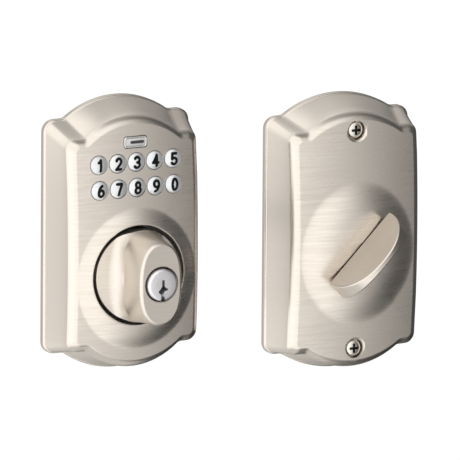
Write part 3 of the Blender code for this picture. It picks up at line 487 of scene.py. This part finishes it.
def cast_cover(name, shape, hole, x):
    """One-piece hollow cover: foot, sloping sides, panel with a rounded edge, dome and hole."""
    def level(ring, depth):
        return [world(x + px, pz, depth) for px, pz in ring]

    def under_face(ring, lower=0.0, measured=None):
        """A ring some way under the face, whose depth may be measured at another ring's points."""
        return [world(x + px, pz, shape.face(ex, ez) - lower)
                for (px, pz), (ex, ez) in zip(ring, measured or ring)]

    foot = shape.foot(0.0)
    lip = shape.foot(LIP_INSET)
    panel = shape.panel(0.0)
    edge = shape.panel(PANEL_ROUND_IN)

    # Foot rim and its rounded lip.
    rings = [level(shape.foot(RIM_EASE), 0.0), level(foot, RIM_EASE), level(foot, 1.5 * MM),
             level(foot, RIM_DEPTH)]
    for degrees in (22.5, 45.0, 67.5):
        turn = math.radians(degrees)
        inset = LIP_INSET * (1.0 - math.cos(turn))
        rings.append(level(shape.foot(inset),
                           RIM_DEPTH + (LIP_DEPTH - RIM_DEPTH) * math.sin(turn)))

    # Slightly hollow slope from the lip up to the crease under the panel's edge.
    for share in [step / 14 for step in range(14)] + [0.99, 1.0]:
        inward = 1.0 - (1.0 - share) ** SLOPE_POWER
        slope = []
        for (fx, fz), (px, pz), (ex, ez) in zip(lip, panel, edge):
            crease = shape.face(ex, ez) - PANEL_WALL
            slope.append(world(x + fx + (px - fx) * inward, fz + (pz - fz) * inward,
                               LIP_DEPTH + (crease - LIP_DEPTH) * share))
        rings.append(slope)

    # Rounded edge: a parabola that rises steeply from the crease and flattens toward the face.
    for step in range(1, 13):
        share = step / 12
        bulge = 2.0 * share * (1.0 - share)
        outline = blended(panel, edge, BEVEL_LEAN * bulge + share * share)
        drop = PANEL_WALL * (1.0 - (1.0 - BEVEL_LEAN) * bulge - share * share)
        rings.append(under_face(outline, drop, edge))

    # Face: flat margin, dome edge, dome, and the rounded rim of the hole.
    margin = shape.panel(PANEL_ROUND_IN + 0.2 * MM)
    outer_swell = shape.dome_ring(edge, 1.06)
    brim = shape.dome_ring(edge, 1.0)
    inner_brim = shape.dome_ring(edge, 0.86)
    rim = pulled_in(edge, hole + HOLE_ROUND)
    for first, second, count in ((margin, outer_swell, 6), (outer_swell, brim, 3),
                                 (brim, inner_brim, 12), (inner_brim, rim, 10)):
        for step in range(count):
            rings.append(under_face(blended(first, second, step / count)))
    for degrees in (0.0, 30.0, 60.0, 90.0):
        turn = math.radians(degrees)
        ring = pulled_in(edge, hole + HOLE_ROUND * (1.0 - math.sin(turn)))
        rings.append(under_face(ring, HOLE_ROUND * (1.0 - math.cos(turn))))

    # Hollow inside, back down to the door plane.
    inner_rim = pulled_in(edge, hole)
    inner_edge = shape.panel(PANEL_ROUND_IN + 0.8 * MM)
    inner_swell = pulled_in(inner_edge, 33.0 * MM, 0.96)
    inner_panel = shape.panel(WALL)
    inner_foot = shape.foot(WALL + 0.4 * MM)
    for share in (0.0, 0.3, 0.6, 1.0):
        rings.append(under_face(blended(inner_rim, inner_swell, share), WALL))
    rings.append(under_face(inner_edge, WALL))
    rings.append(under_face(inner_panel, PANEL_WALL, inner_edge))
    rings.append(level(blended(inner_foot, inner_panel, 0.6), 9.0 * MM))
    rings.append(level(inner_foot, 4.0 * MM))
    rings.append(level(inner_foot, 0.0))
    return loft(name, rings, closed=True)


# For each cover: foot (shoulder, rise, spring, middle), panel (shoulder, rise, middle), height of
# the face's crown, and dome (half width, half height, middle, power of its edge, fade).
outside_shape = CoverShape((56.0 * MM, 9.3 * MM, 27.3 * MM, outside_middle),
                           (50.6 * MM, 9.5 * MM, outside_middle - 1.5 * MM), 5.0 * MM,
                           (31.0 * MM, 34.0 * MM, -2.0 * MM, 6.0, 1.6))
inside_shape = CoverShape((57.45 * MM, 8.9 * MM, 28.8 * MM, inside_middle),
                          (53.5 * MM, 8.2 * MM, inside_middle - 1.4 * MM), 6.0 * MM,
                          (30.3 * MM, 35.0 * MM, -0.7 * MM, 4.5, 2.0))
escutcheon = cast_cover("escutcheon_casting", outside_shape, KNOB_HOLE, 0.0)
cover = cast_cover("inside_cover_casting", inside_shape, SPINDLE_HOLE, spindle_axis)

# ------------------------------------------------------------------------------------------------
# Keys with their digits
# ------------------------------------------------------------------------------------------------
KEY_RADIUS = 4.35 * MM
KEY_HOLE = 4.6 * MM
KEY_DOME = 9.6 * MM
DIGIT_HEIGHT = 6.1 * MM
DIGIT_STROKE = 1.36 * MM
DIGIT_RAISE = 0.03 * MM
INK_DEPTH = 0.2 * MM
INK_STEP = 0.35 * MM


def key_top(radius, crown):
    """Depth of a key's domed top at a distance from its middle."""
    return crown - KEY_DOME + math.sqrt(max(KEY_DOME ** 2 - radius ** 2, 0.0))


def ellipse(cx, cz, rx, rz, start, end, count=20):
    """Points along an ellipse between two angles in degrees."""
    points = []
    for i in range(count):
        turn = math.radians(start + (end - start) * i / (count - 1))
        points.append((cx + rx * math.cos(turn), cz + rz * math.sin(turn)))
    return points


# Strokes of each digit about its middle, in digit heights.
SIX = [ellipse(0.0, -0.175, 0.205, 0.245, 0, 360, 30), ellipse(0.2, -0.17, 0.405, 0.59, 180, 104)]
STROKES = {
    "1": [[(0.04, -0.42), (0.04, 0.42)], [(0.04, 0.40), (-0.04, 0.30), (-0.15, 0.24)]],
    "2": [ellipse(0.0, 0.2, 0.2, 0.22, 165, -30) + [(-0.2, -0.42)], [(-0.2, -0.42), (0.21, -0.42)]],
    "3": [ellipse(-0.01, 0.215, 0.195, 0.205, 155, -90),
          ellipse(-0.01, -0.205, 0.215, 0.215, 90, -155)],
    "4": [[(0.09, -0.42), (0.09, 0.42)], [(0.09, 0.42), (-0.22, -0.16)],
          [(-0.22, -0.16), (0.23, -0.16)]],
    "5": [[(0.19, 0.42), (-0.14, 0.42)], [(-0.14, 0.42), (-0.18, 0.02)],
          ellipse(0.0, -0.17, 0.215, 0.25, 142, -148)],
    "6": SIX,
    "7": [[(-0.2, 0.42), (0.21, 0.42)],
          [(0.21, 0.42), (0.06, 0.08), (-0.03, -0.2), (-0.06, -0.42)]],
    "8": [ellipse(0.0, 0.215, 0.175, 0.205, 0, 360, 30),
          ellipse(0.0, -0.2, 0.21, 0.22, 0, 360, 30)],
    "9": [[(-px, -pz) for px, pz in stroke] for stroke in SIX],
    "0": [ellipse(0.0, 0.0, 0.195, 0.42, 0, 360, 40)],
}
# Round end of a stroke: how far out, and how wide there, in half strokes.
STROKE_CAP = ((0.35, 0.94), (0.65, 0.76), (0.88, 0.47), (0.99, 0.14))
# Section of a stroke: place across it, and whether it is sunk into the key.
STROKE_SECTION = ((-1.0, 1), (-1.0, 0), (-0.5, 0), (0.0, 0), (0.5, 0), (1.0, 0), (1.0, 1))


def paint_stroke(bm, points, x, z, crown):
    """Lays one ribbon of paint with round ends along the points, just above the key's dome."""
    path = [Vector((px * DIGIT_HEIGHT, pz * DIGIT_HEIGHT)) for px, pz in points]
    fine = [path[0]]
    for first, second in zip(path, path[1:]):
        pieces = max(1, int((second - first).length / INK_STEP))
        fine += [first.lerp(second, (i + 1) / pieces) for i in range(pieces)]
    loop = (path[0] - path[-1]).length < 0.05 * MM
    stations = []
    half = DIGIT_STROKE / 2
    for i, point in enumerate(fine):
        before = fine[i - 1] if i else (fine[-2] if loop else point)
        after = fine[i + 1] if i + 1 < len(fine) else (fine[1] if loop else point)
        stations.append((point, (after - before).normalized(), half))
    if not loop:
        first, start = stations[0][:2]
        last, end = stations[-1][:2]
        head = [(first - start * half * reach, start, half * width)
                for reach, width in reversed(STROKE_CAP)]
        tail = [(last + end * half * reach, end, half * width) for reach, width in STROKE_CAP]
        stations = head + stations + tail
    rows = []
    for point, along, width in stations:
        across = Vector((-along.y, along.x))
        row = []
        for share, sunk in STROKE_SECTION:
            spot = point + across * width * share
            depth = key_top(spot.length, crown) + DIGIT_RAISE - sunk * INK_DEPTH
            row.append(bm.verts.new(world(x + spot.x, z + spot.y, depth)))
        rows.append(row)
    for lower, upper in zip(rows, rows[1:]):
        for i in range(len(lower) - 1):
            bm.faces.new((lower[i], lower[i + 1], upper[i + 1], upper[i]))


for digit in STROKES:
    node = "key_" + digit
    low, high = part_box(node)
    key_x = (low[0] + high[0]) / 2
    key_z = (low[2] + high[2]) / 2
    crown = -low[1]
    back = -high[1]
    profile = [(0.0, crown)]
    profile += [(radius * MM, key_top(radius * MM, crown))
                for radius in (0.8, 1.6, 2.4, 3.1, 3.6, 3.95)]
    shoulder = profile[-1][1]
    profile += [(4.18 * MM, shoulder - 0.13 * MM), (4.31 * MM, shoulder - 0.3 * MM),
                (KEY_RADIUS, shoulder - 0.55 * MM), (KEY_RADIUS, back), (0.0, back)]
    dress(turned("keycap_" + digit, profile, key_x, key_z, 56), key_silver, node, node)
    ink = bmesh.new()
    for stroke in STROKES[digit]:
        paint_stroke(ink, stroke, key_x, key_z, crown)
    bmesh.ops.recalc_face_normals(ink, faces=ink.faces)
    dress(new_object("digit_" + digit, ink, 60.0), digit_black, node)
    boolean(escutcheon, rod("hole", KEY_HOLE, key_x, key_z, CUT_BACK, CUT_FRONT, 56))

# ------------------------------------------------------------------------------------------------
# Status button above the keys
# ------------------------------------------------------------------------------------------------
BUTTON_GAP = 0.25 * MM
button_x = (button_low[0] + button_high[0]) / 2
button_z = (button_low[2] + button_high[2]) / 2
button_half_width = (button_high[0] - button_low[0]) / 2
button_half_height = (button_high[2] - button_low[2]) / 2
button_top = -button_low[1]
button_back = -button_high[1]
slot_outline = rounded_rectangle(button_half_width + BUTTON_GAP, button_half_height + BUTTON_GAP,
                                 1.5 * MM)
boolean(escutcheon, prism("slot", slot_outline, button_x, button_z, CUT_BACK, CUT_FRONT))


def badge_ring(inset, depth, radius):
    """Rounded rectangle inside the button's outline."""
    outline = rounded_rectangle(button_half_width - inset, button_half_height - inset, radius)
    return [world(button_x + px, button_z + pz, depth) for px, pz in outline]


badge_rings = [badge_ring(0.0, button_back, 1.3 * MM),
               badge_ring(0.0, button_top - 0.35 * MM, 1.3 * MM),
               badge_ring(0.1 * MM, button_top - 0.1 * MM, 1.25 * MM),
               badge_ring(0.3 * MM, button_top, 1.1 * MM),
               badge_ring(0.5 * MM, button_top, 0.9 * MM),
               badge_ring(0.68 * MM, button_top - 0.1 * MM, 0.75 * MM),
               badge_ring(0.75 * MM, button_top - 0.3 * MM, 0.7 * MM),
               badge_ring(0.75 * MM, button_back, 0.7 * MM)]
badge = loft("badge_frame", badge_rings, closed=True, sharp=50.0)
dress(badge, frame_bright, "status_button", "status_button")
lens_top = button_top - 0.25 * MM
lens_rings = [badge_ring(0.85 * MM, button_back, 0.6 * MM),
              badge_ring(0.85 * MM, lens_top - 0.1 * MM, 0.6 * MM),
              badge_ring(1.0 * MM, lens_top, 0.5 * MM)]
dress(loft("badge_lens", lens_rings), lens_grey, "status_button", "status_lens")
strip = prism("badge_strip", rounded_rectangle(3.6 * MM, 0.72 * MM, 0.65 * MM),
              button_x + 0.8 * MM, button_z, lens_top - 0.3 * MM, lens_top + 0.05 * MM)
dress(strip, strip_dark, "status_button")
reshade(escutcheon)
dress(escutcheon, satin, HOUSING, "exterior_escutcheon")

# ------------------------------------------------------------------------------------------------
# Outside knob and key cylinder
# ------------------------------------------------------------------------------------------------
KNOB_BACK = 14.0 * MM
KNOB_RIM = 26.4 * MM
KNOB_RIM_LEAN = 0.07
HUB_RADIUS = 11.5 * MM
NECK_HALF_HEIGHT = 21.4 * MM
NECK_HALF_WIDTH = 10.3 * MM
NECK_POWER = 3.2
FILLET_RISE = 5.1 * MM
FILLET_REACH = 5.5 * MM
FILLET_POWER = 2.6
FACE_HALF_HEIGHT = 19.8 * MM
FACE_HALF_WIDTH = 10.95 * MM
FACE_POWER = 2.35
FACE_ROUND = 1.4 * MM
BORE_RADIUS = 9.1 * MM
BORE_END = 46.8 * MM
FRONT_BORE = PLUG_HEAD_RADIUS + 0.7 * MM
FRONT_CHAMFER = 0.6 * MM
PIN_POCKET_HALF_WIDTH = 3.7 * MM
PIN_POCKET_TOP = 17.5 * MM
PIN_POCKET_BACK = 17.4 * MM
PIN_POCKET_FRONT = 44.8 * MM
KNOB_STEPS = 160


def oval(half_width, half_height, power, turn):
    """Point of a superellipse at an angle: an oval when the power is 2, and squarer above it."""
    across = math.copysign(abs(math.cos(turn)) ** (2.0 / power), math.cos(turn))
    up = math.copysign(abs(math.sin(turn)) ** (2.0 / power), math.sin(turn))
    return half_width * across, half_height * up


RAYS = [(math.cos(2 * math.pi * i / KNOB_STEPS), math.sin(2 * math.pi * i / KNOB_STEPS))
        for i in range(KNOB_STEPS)]


def neck_radii(share):
    """Radii of the neck's oval in even directions, from its root (0) to its front face (1)."""
    width = NECK_HALF_WIDTH + (FACE_HALF_WIDTH - NECK_HALF_WIDTH) * share
    height = NECK_HALF_HEIGHT + (FACE_HALF_HEIGHT - NECK_HALF_HEIGHT) * share
    power = NECK_POWER + (FACE_POWER - NECK_POWER) * share ** 0.8
    radii = []
    for across, up in RAYS:
        inverse = abs(across / width) ** power + abs(up / height) ** power
        radii.append(min(inverse ** (-1.0 / power), KNOB_RADIUS - 0.3 * MM))
    return radii


def rays_ring(radii, depths):
    """Ring round the lock axis, with a radius and a depth for each even direction."""
    return [world(across * radius, up * radius, depth)
            for (across, up), radius, depth in zip(RAYS, radii, depths)]


def even_ring(radius, depth):
    return rays_ring([radius] * KNOB_STEPS, [depth] * KNOB_STEPS)


# Hub, disc with its eased rim, fillet up to the neck's root, tapering neck, rounded front face.
root_radii = neck_radii(0.0)
face_radii = neck_radii(1.0)
knob_rings = [even_ring(HUB_RADIUS, -knob_high[1]), even_ring(HUB_RADIUS, KNOB_BACK),
              even_ring(KNOB_RADIUS, KNOB_BACK), even_ring(KNOB_RADIUS, KNOB_RIM - 0.5 * MM),
              even_ring(KNOB_RADIUS - 0.15 * MM, KNOB_RIM - 0.15 * MM)]
for share in (0.03, 0.12, 0.25, 0.38, 0.5, 0.6, 0.69, 0.77, 0.84, 0.9, 0.95, 1.0):
    radii = [KNOB_RADIUS + (root - KNOB_RADIUS) * share for root in root_radii]
    root_depths = []
    for radius, root in zip(radii, root_radii):
        nearness = max(0.0, 1.0 - (radius - root) / FILLET_REACH)
        root_depths.append(KNOB_RIM + KNOB_RIM_LEAN * (KNOB_RADIUS - radius)
                           + FILLET_RISE * nearness ** FILLET_POWER)
    knob_rings.append(rays_ring(radii, root_depths))
face_start = KNOB_FACE - FACE_ROUND
for step in range(1, 15):
    share = step / 14
    depths = [depth + (face_start - depth) * share for depth in root_depths]
    knob_rings.append(rays_ring(neck_radii(share), depths))
for degrees in (15.0, 30.0, 45.0, 60.0, 75.0, 90.0):
    turn = math.radians(degrees)
    inset = FACE_ROUND * (1.0 - math.cos(turn))
    knob_rings.append(rays_ring([radius - inset for radius in face_radii],
                                [face_start + FACE_ROUND * math.sin(turn)] * KNOB_STEPS))
for inset in (0.15 * MM, 0.6 * MM):
    knob_rings.append(rays_ring([radius - FACE_ROUND - inset for radius in face_radii],
                                [KNOB_FACE] * KNOB_STEPS))
knob = loft("outside_knob_casting", knob_rings)
bore_profile = [(0.0, -2.0 * MM), (BORE_RADIUS, -2.0 * MM), (BORE_RADIUS, BORE_END),
                (FRONT_BORE, BORE_END), (FRONT_BORE, KNOB_FACE - 0.4 * MM),
                (FRONT_BORE + FRONT_CHAMFER, KNOB_FACE + 0.2 * MM),
                (FRONT_BORE + FRONT_CHAMFER, 54.0 * MM), (0.0, 54.0 * MM)]
boolean(knob, turned("bore", bore_profile, 0.0, 0.0, 96))
pocket_outline = [(-PIN_POCKET_HALF_WIDTH, 0.0), (PIN_POCKET_HALF_WIDTH, 0.0),
                  (PIN_POCKET_HALF_WIDTH, PIN_POCKET_TOP),
                  (-PIN_POCKET_HALF_WIDTH, PIN_POCKET_TOP)]
boolean(knob, prism("pocket", pocket_outline, 0.0, 0.0, PIN_POCKET_BACK, PIN_POCKET_FRONT))
reshade(knob, 25.0)
dress(knob, knob_satin, "outside_knob", "outside_turn")

PLUG_RADIUS = 6.35 * MM
PLUG_HEAD_BACK = 47.0 * MM
CLIP_GROOVE = 5.4 * MM
# Keyway outline in millimetres, from the top of the slot round by the right.
KEYWAY = [(-0.55, 2.5), (0.55, 2.5), (0.75, -0.6), (1.6, -1.5), (2.4, -1.7), (2.2, -2.7),
          (0.9, -2.8), (0.2, -3.6), (0.4, -5.2), (1.4, -7.9), (-1.2, -7.9), (-1.0, -4.6),
          (-2.0, -3.8), (-2.6, -2.9), (-1.6, -2.0), (-0.7, -0.6)]
KEYWAY_BACK = 26.0 * MM
plug_profile = [(0.0, PLUG_FRONT), (3.0 * MM, PLUG_FRONT), (6.4 * MM, PLUG_FRONT),
                (PLUG_HEAD_RADIUS - 0.7 * MM, PLUG_FRONT - 0.06 * MM),
                (PLUG_HEAD_RADIUS - 0.35 * MM, PLUG_FRONT - 0.22 * MM),
                (PLUG_HEAD_RADIUS - 0.1 * MM, PLUG_FRONT - 0.55 * MM),
                (PLUG_HEAD_RADIUS, PLUG_FRONT - 1.0 * MM), (PLUG_HEAD_RADIUS, PLUG_HEAD_BACK),
                (PLUG_RADIUS, PLUG_HEAD_BACK), (PLUG_RADIUS, 4.4 * MM), (CLIP_GROOVE, 4.4 * MM),
                (CLIP_GROOVE, 3.2 * MM), (PLUG_RADIUS, 3.2 * MM), (PLUG_RADIUS, -plug_high[1]),
                (0.0, -plug_high[1])]
plug = turned("key_plug", plug_profile, 0.0, 0.0, 96)
boolean(plug, prism("keyway", [(px * MM, pz * MM) for px, pz in KEYWAY], 0.0, 0.0, KEYWAY_BACK,
                    56.0 * MM))
reshade(plug)
dress(plug, plug_nickel, "plug", "cylinder_plug")

WARD_RADIUS = 1.15 * MM
WARD_BACK = 30.0 * MM
ward_front = PLUG_FRONT - 0.5 * MM
ward_profile = [(0.0, ward_front), (0.5 * MM, ward_front - 0.1 * MM),
                (0.9 * MM, ward_front - 0.4 * MM), (WARD_RADIUS, ward_front - 0.9 * MM),
                (WARD_RADIUS, WARD_BACK), (0.0, WARD_BACK)]
ward = turned("keyway_ward", ward_profile, 1.0 * MM, -4.8 * MM, 32)
dress(ward, plug_nickel, "plug")

# ------------------------------------------------------------------------------------------------
# Inside cover, its two screws and the thumbturn
# ------------------------------------------------------------------------------------------------
SCREW_RECESS = 4.6 * MM
SCREW_SEAT = 17.4 * MM
HEAD_BACK = 17.5 * MM
BOSS_RADIUS = 6.1 * MM
BOSS_BACK = 15.5 * MM
SHANK_HOLE = 2.2 * MM
THREAD_CREST = 1.75 * MM
THREAD_ROOT = 1.35 * MM
THREAD_START = 16.5 * MM
THREAD_PITCH = 0.8 * MM
CROSS_LENGTH = 2.6 * MM
CROSS_WIDTH = 0.7 * MM
CROSS_DEPTH = 2.2 * MM
CROSS_TAPER = 0.7


def cover_screw(place):
    """One Phillips screw in its round recess, with a boss and a shank hole in the cover."""
    low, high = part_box("cover_screw_" + place)
    x = (low[0] + high[0]) / 2
    z = (low[2] + high[2]) / 2
    head = (high[0] - low[0]) / 2
    top = -low[1]
    tip = -high[1]
    skin = inside_shape.face(x - spindle_axis, z)
    boolean(cover, rod("boss", BOSS_RADIUS, x, z, BOSS_BACK, skin - 0.8 * MM, 48), "UNION")
    recess_profile = [(0.0, SCREW_SEAT), (SCREW_RECESS, SCREW_SEAT),
                      (SCREW_RECESS, skin - 0.75 * MM),
                      (SCREW_RECESS + 0.12 * MM, skin - 0.4 * MM),
                      (SCREW_RECESS + 0.42 * MM, skin - 0.08 * MM),
                      (SCREW_RECESS + 1.0 * MM, skin + 0.2 * MM),
                      (SCREW_RECESS + 1.0 * MM, 26.0 * MM), (0.0, 26.0 * MM)]
    boolean(cover, turned("recess", recess_profile, x, z, 64))
    boolean(cover, rod("shank_hole", SHANK_HOLE, x, z, CUT_BACK, 24.0 * MM, 32))

    profile = [(0.0, top), (1.4 * MM, top - 0.04 * MM), (2.5 * MM, top - 0.16 * MM),
               (head - 0.5 * MM, top - 0.42 * MM), (head - 0.12 * MM, top - 0.75 * MM),
               (head, top - 1.0 * MM), (head, HEAD_BACK), (THREAD_CREST, HEAD_BACK)]
    depth = THREAD_START
    while depth > tip + 2.0 * THREAD_PITCH:
        profile += [(THREAD_CREST, depth), (THREAD_ROOT, depth - THREAD_PITCH / 2)]
        depth -= THREAD_PITCH
    profile += [(THREAD_CREST, tip + THREAD_PITCH), (0.0, tip)]
    screw = turned("screw_" + place, profile, x, z, 56)
    for half_x, half_z in ((CROSS_LENGTH, CROSS_WIDTH), (CROSS_WIDTH, CROSS_LENGTH)):
        outline = [(half_x, half_z), (-half_x, half_z), (-half_x, -half_z), (half_x, -half_z)]
        boolean(screw, prism("cross", outline, x, z, top - CROSS_DEPTH, top + 1.0 * MM,
                             CROSS_TAPER))
    reshade(screw)
    dress(screw, screw_nickel, HOUSING, "cover_screw_" + place)

    # The cross is painted darker inside than the head around it: painted shade in the recess.
    screw.data.materials.append(cross_painted_shade)
    for face in screw.data.polygons:
        middle = math.hypot(face.center.x - x, face.center.z - z)
        sunk = top + face.center.y > 0.45 * MM and -face.center.y > 18.0 * MM
        face.material_index = 1 if sunk and middle < head - 0.5 * MM else 0


for place in ("top", "bottom"):
    cover_screw(place)
reshade(cover)
dress(cover, satin, HOUSING, "interior_cover")

PADDLE_ANGLE = math.radians(45.0)
PADDLE_COS = math.cos(PADDLE_ANGLE)
PADDLE_SIN = math.sin(PADDLE_ANGLE)
PADDLE_RADIUS = 22.6 * MM
PADDLE_FOOT = 33.7 * MM
PADDLE_HEIGHT = -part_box("interior_thumbturn")[0][1] - PADDLE_FOOT
PADDLE_POWER = 2.3
PADDLE_THICK = 10.9 * MM
PADDLE_CREST = 2.7 * MM
PADDLE_TAPER = 0.85
PADDLE_ROUND = 0.5 * MM
PADDLE_SIDE = 0.75
PADDLE_STEPS = 64
# Narrow underside: half length, half thickness and depth at its back and at the paddle.
FOOT_BLOCK = ((20.6 * MM, 2.7 * MM, 29.2 * MM), (22.2 * MM, 5.2 * MM, PADDLE_FOOT + 0.2 * MM))
SPINDLE_RADIUS = 5.4 * MM
SPINDLE_NECK = 3.4 * MM
SPINDLE_TOP = 2.5 * MM
SPINDLE_STEP = 20.0 * MM
SOCKET_HALF_WIDTH = 1.4 * MM
SOCKET_HALF_HEIGHT = 3.6 * MM


def slanted(along, across):
    """Point given along and across the paddle, turned to its rest angle about the spindle."""
    return along * PADDLE_COS - across * PADDLE_SIN, along * PADDLE_SIN + across * PADDLE_COS


def slanted_point(along, across, depth):
    """The same point in the world, at a depth."""
    px, pz = slanted(along, across)
    return world(spindle_axis + px, pz, depth)


def paddle_side(sign):
    """One side of the half-round paddle, leaning in toward the crest."""
    ring = []
    for i in range(PADDLE_STEPS + 1):
        along, rise = oval(PADDLE_RADIUS, PADDLE_HEIGHT, PADDLE_POWER, math.pi * i / PADDLE_STEPS)
        rise = max(rise, 0.0)
        taper = max(0.0, 1.0 - rise / PADDLE_HEIGHT) ** PADDLE_TAPER
        thickness = PADDLE_CREST + (PADDLE_THICK - PADDLE_CREST) * taper
        ring.append(slanted_point(along, sign * thickness / 2, PADDLE_FOOT + rise))
    return ring


paddle = loft("thumbturn_paddle", [paddle_side(-1), paddle_side(1)], sharp=30.0)
soften(paddle, PADDLE_ROUND)
dress(paddle, knob_satin, "thumbturn", "interior_thumbturn")

# The flat sides take a darker copy of the nickel: painted shade for how the light falls on them.
paddle.data.materials.append(paddle_side_painted_shade)
for face in paddle.data.polygons:
    across = (face.normal.z - face.normal.x) * PADDLE_SIN
    face.material_index = 1 if abs(across) > PADDLE_SIDE else 0

block_rings = [[slanted_point(px, pz, depth)
                for px, pz in rounded_rectangle(half_length, half_thickness, 1.0 * MM, 5)]
               for half_length, half_thickness, depth in FOOT_BLOCK]
dress(loft("thumbturn_foot", block_rings), knob_satin, "thumbturn")

spindle_profile = [(0.0, 2.2 * MM), (SPINDLE_RADIUS - 0.3 * MM, 2.2 * MM),
                   (SPINDLE_RADIUS, 2.5 * MM), (SPINDLE_RADIUS, SPINDLE_STEP),
                   (SPINDLE_NECK, SPINDLE_STEP), (SPINDLE_NECK, 26.3 * MM),
                   (SPINDLE_TOP, 26.4 * MM), (SPINDLE_TOP, PADDLE_FOOT), (0.0, PADDLE_FOOT)]
spindle = turned("thumbturn_spindle", spindle_profile, spindle_axis, 0.0, 48)
socket_outline = [slanted(SOCKET_HALF_WIDTH, SOCKET_HALF_HEIGHT),
                  slanted(-SOCKET_HALF_WIDTH, SOCKET_HALF_HEIGHT),
                  slanted(-SOCKET_HALF_WIDTH, -SOCKET_HALF_HEIGHT),
                  slanted(SOCKET_HALF_WIDTH, -SOCKET_HALF_HEIGHT)]
boolean(spindle, prism("socket", socket_outline, spindle_axis, 0.0, -1.0 * MM, 16.0 * MM))
reshade(spindle)
dress(spindle, zinc, "thumbturn")

# ------------------------------------------------------------------------------------------------
# Floor, light and camera
# ------------------------------------------------------------------------------------------------
FLOOR_RADIUS = 0.24
FLOOR_DROP = 0.32
FLOOR_PLACE = (-0.05, 0.0, outside_low[2] - FLOOR_DROP)
disc = bmesh.new()
bmesh.ops.create_circle(disc, cap_ends=True, segments=64, radius=FLOOR_RADIUS)
bmesh.ops.translate(disc, verts=disc.verts, vec=FLOOR_PLACE)
floor = new_object("floor", disc)
floor.data.materials.append(moulded("floor_paint", (0.86, 0.86, 0.85), (0.82, 0.82, 0.81), 0.7,
                                    60.0, 0.05))

scene = bpy.context.scene
scene.view_settings.view_transform = "Standard"
sky = bpy.data.worlds.new("studio")
scene.world = sky
sky.use_nodes = True
tree = sky.node_tree
tree.nodes.clear()
output = tree.nodes.new("ShaderNodeOutputWorld")
direction = tree.nodes.new("ShaderNodeTexCoord")

# The studio round the lock, in patches. For each: its direction, the cosines where it starts and is
# full, and the brightness outside and inside it. The room is bright except toward the right. The
# dim patches are multiplied in and the glows are added.
ROOM = ((1.0, 0.0, 0.0), 0.12, 0.7, 1.37, 0.08)
DIM_PATCHES = (((0.0, 1.0, 0.0), 0.3, 0.95, 1.0, 0.35),
               ((0.35, 0.1, 0.93), 0.78, 0.96, 1.0, 0.32),
               ((0.5, 0.0, -0.87), 0.6, 0.95, 1.0, 0.2))
GLOWS = (((-0.88, -0.38, -0.15), 0.84, 0.97, 0.0, 0.15),
         ((0.5, 0.58, 0.64), 0.78, 0.95, 0.0, 0.34))
ROOM_TINT = (1.0, 0.985, 0.965, 1.0)
BACKDROP_WHITE = 1.05


def falloff(towards, start, end, outside, inside):
    """Brightness of one patch of the studio, by how near a direction comes to the patch's own."""
    dot = tree.nodes.new("ShaderNodeVectorMath")
    dot.operation = "DOT_PRODUCT"
    dot.inputs[1].default_value = Vector(towards).normalized()
    tree.links.new(direction.outputs["Generated"], dot.inputs[0])
    ramp = tree.nodes.new("ShaderNodeMapRange")
    ramp.interpolation_type = "SMOOTHSTEP"
    ramp.inputs["From Min"].default_value = start
    ramp.inputs["From Max"].default_value = end
    ramp.inputs["To Min"].default_value = outside
    ramp.inputs["To Max"].default_value = inside
    tree.links.new(dot.outputs["Value"], ramp.inputs["Value"])
    return ramp.outputs["Result"]


def combined(operation, first, second):
    """Sum or product of two brightnesses."""
    node = tree.nodes.new("ShaderNodeMath")
    node.operation = operation
    tree.links.new(first, node.inputs[0])
    tree.links.new(second, node.inputs[1])
    return node.outputs["Value"]


total = falloff(*ROOM)
for patch in DIM_PATCHES:
    total = combined("MULTIPLY", total, falloff(*patch))
for patch in GLOWS:
    total = combined("ADD", total, falloff(*patch))
lit = tree.nodes.new("ShaderNodeBackground")
lit.inputs["Color"].default_value = ROOM_TINT
tree.links.new(total, lit.inputs["Strength"])
backdrop = tree.nodes.new("ShaderNodeBackground")
backdrop.inputs["Color"].default_value = (1.0, 1.0, 1.0, 1.0)
backdrop.inputs["Strength"].default_value = BACKDROP_WHITE

# The camera sees plain white, and the metal reflects the studio.
path = tree.nodes.new("ShaderNodeLightPath")
choose = tree.nodes.new("ShaderNodeMixShader")
tree.links.new(path.outputs["Is Camera Ray"], choose.inputs["Fac"])
tree.links.new(lit.outputs["Background"], choose.inputs[1])
tree.links.new(backdrop.outputs["Background"], choose.inputs[2])
tree.links.new(choose.outputs["Shader"], output.inputs["Surface"])

CAMERA_AZIMUTH = math.radians(27.5)
CAMERA_ELEVATION = math.radians(12.0)
CAMERA_ROLL = math.radians(0.41)
CAMERA_DISTANCE = 6.0
VIEW_WIDTH = 0.21743
SENSOR_WIDTH = 36.0
AIM = Vector((0.0621, 0.0, 0.0107))
camera_data = bpy.data.cameras.new("camera")
camera = bpy.data.objects.new("camera", camera_data)
scene.collection.objects.link(camera)
scene.camera = camera
camera_data.sensor_width = SENSOR_WIDTH
camera_data.lens = SENSOR_WIDTH * CAMERA_DISTANCE / VIEW_WIDTH
camera_data.clip_end = 100.0
toward = Vector((-math.sin(CAMERA_AZIMUTH) * math.cos(CAMERA_ELEVATION),
                 -math.cos(CAMERA_AZIMUTH) * math.cos(CAMERA_ELEVATION),
                 math.sin(CAMERA_ELEVATION)))
camera.location = AIM + toward * CAMERA_DISTANCE
look = (-toward).to_track_quat("-Z", "Y").to_matrix().to_4x4()
camera.rotation_euler = (look @ Matrix.Rotation(CAMERA_ROLL, 4, "Z")).to_euler()
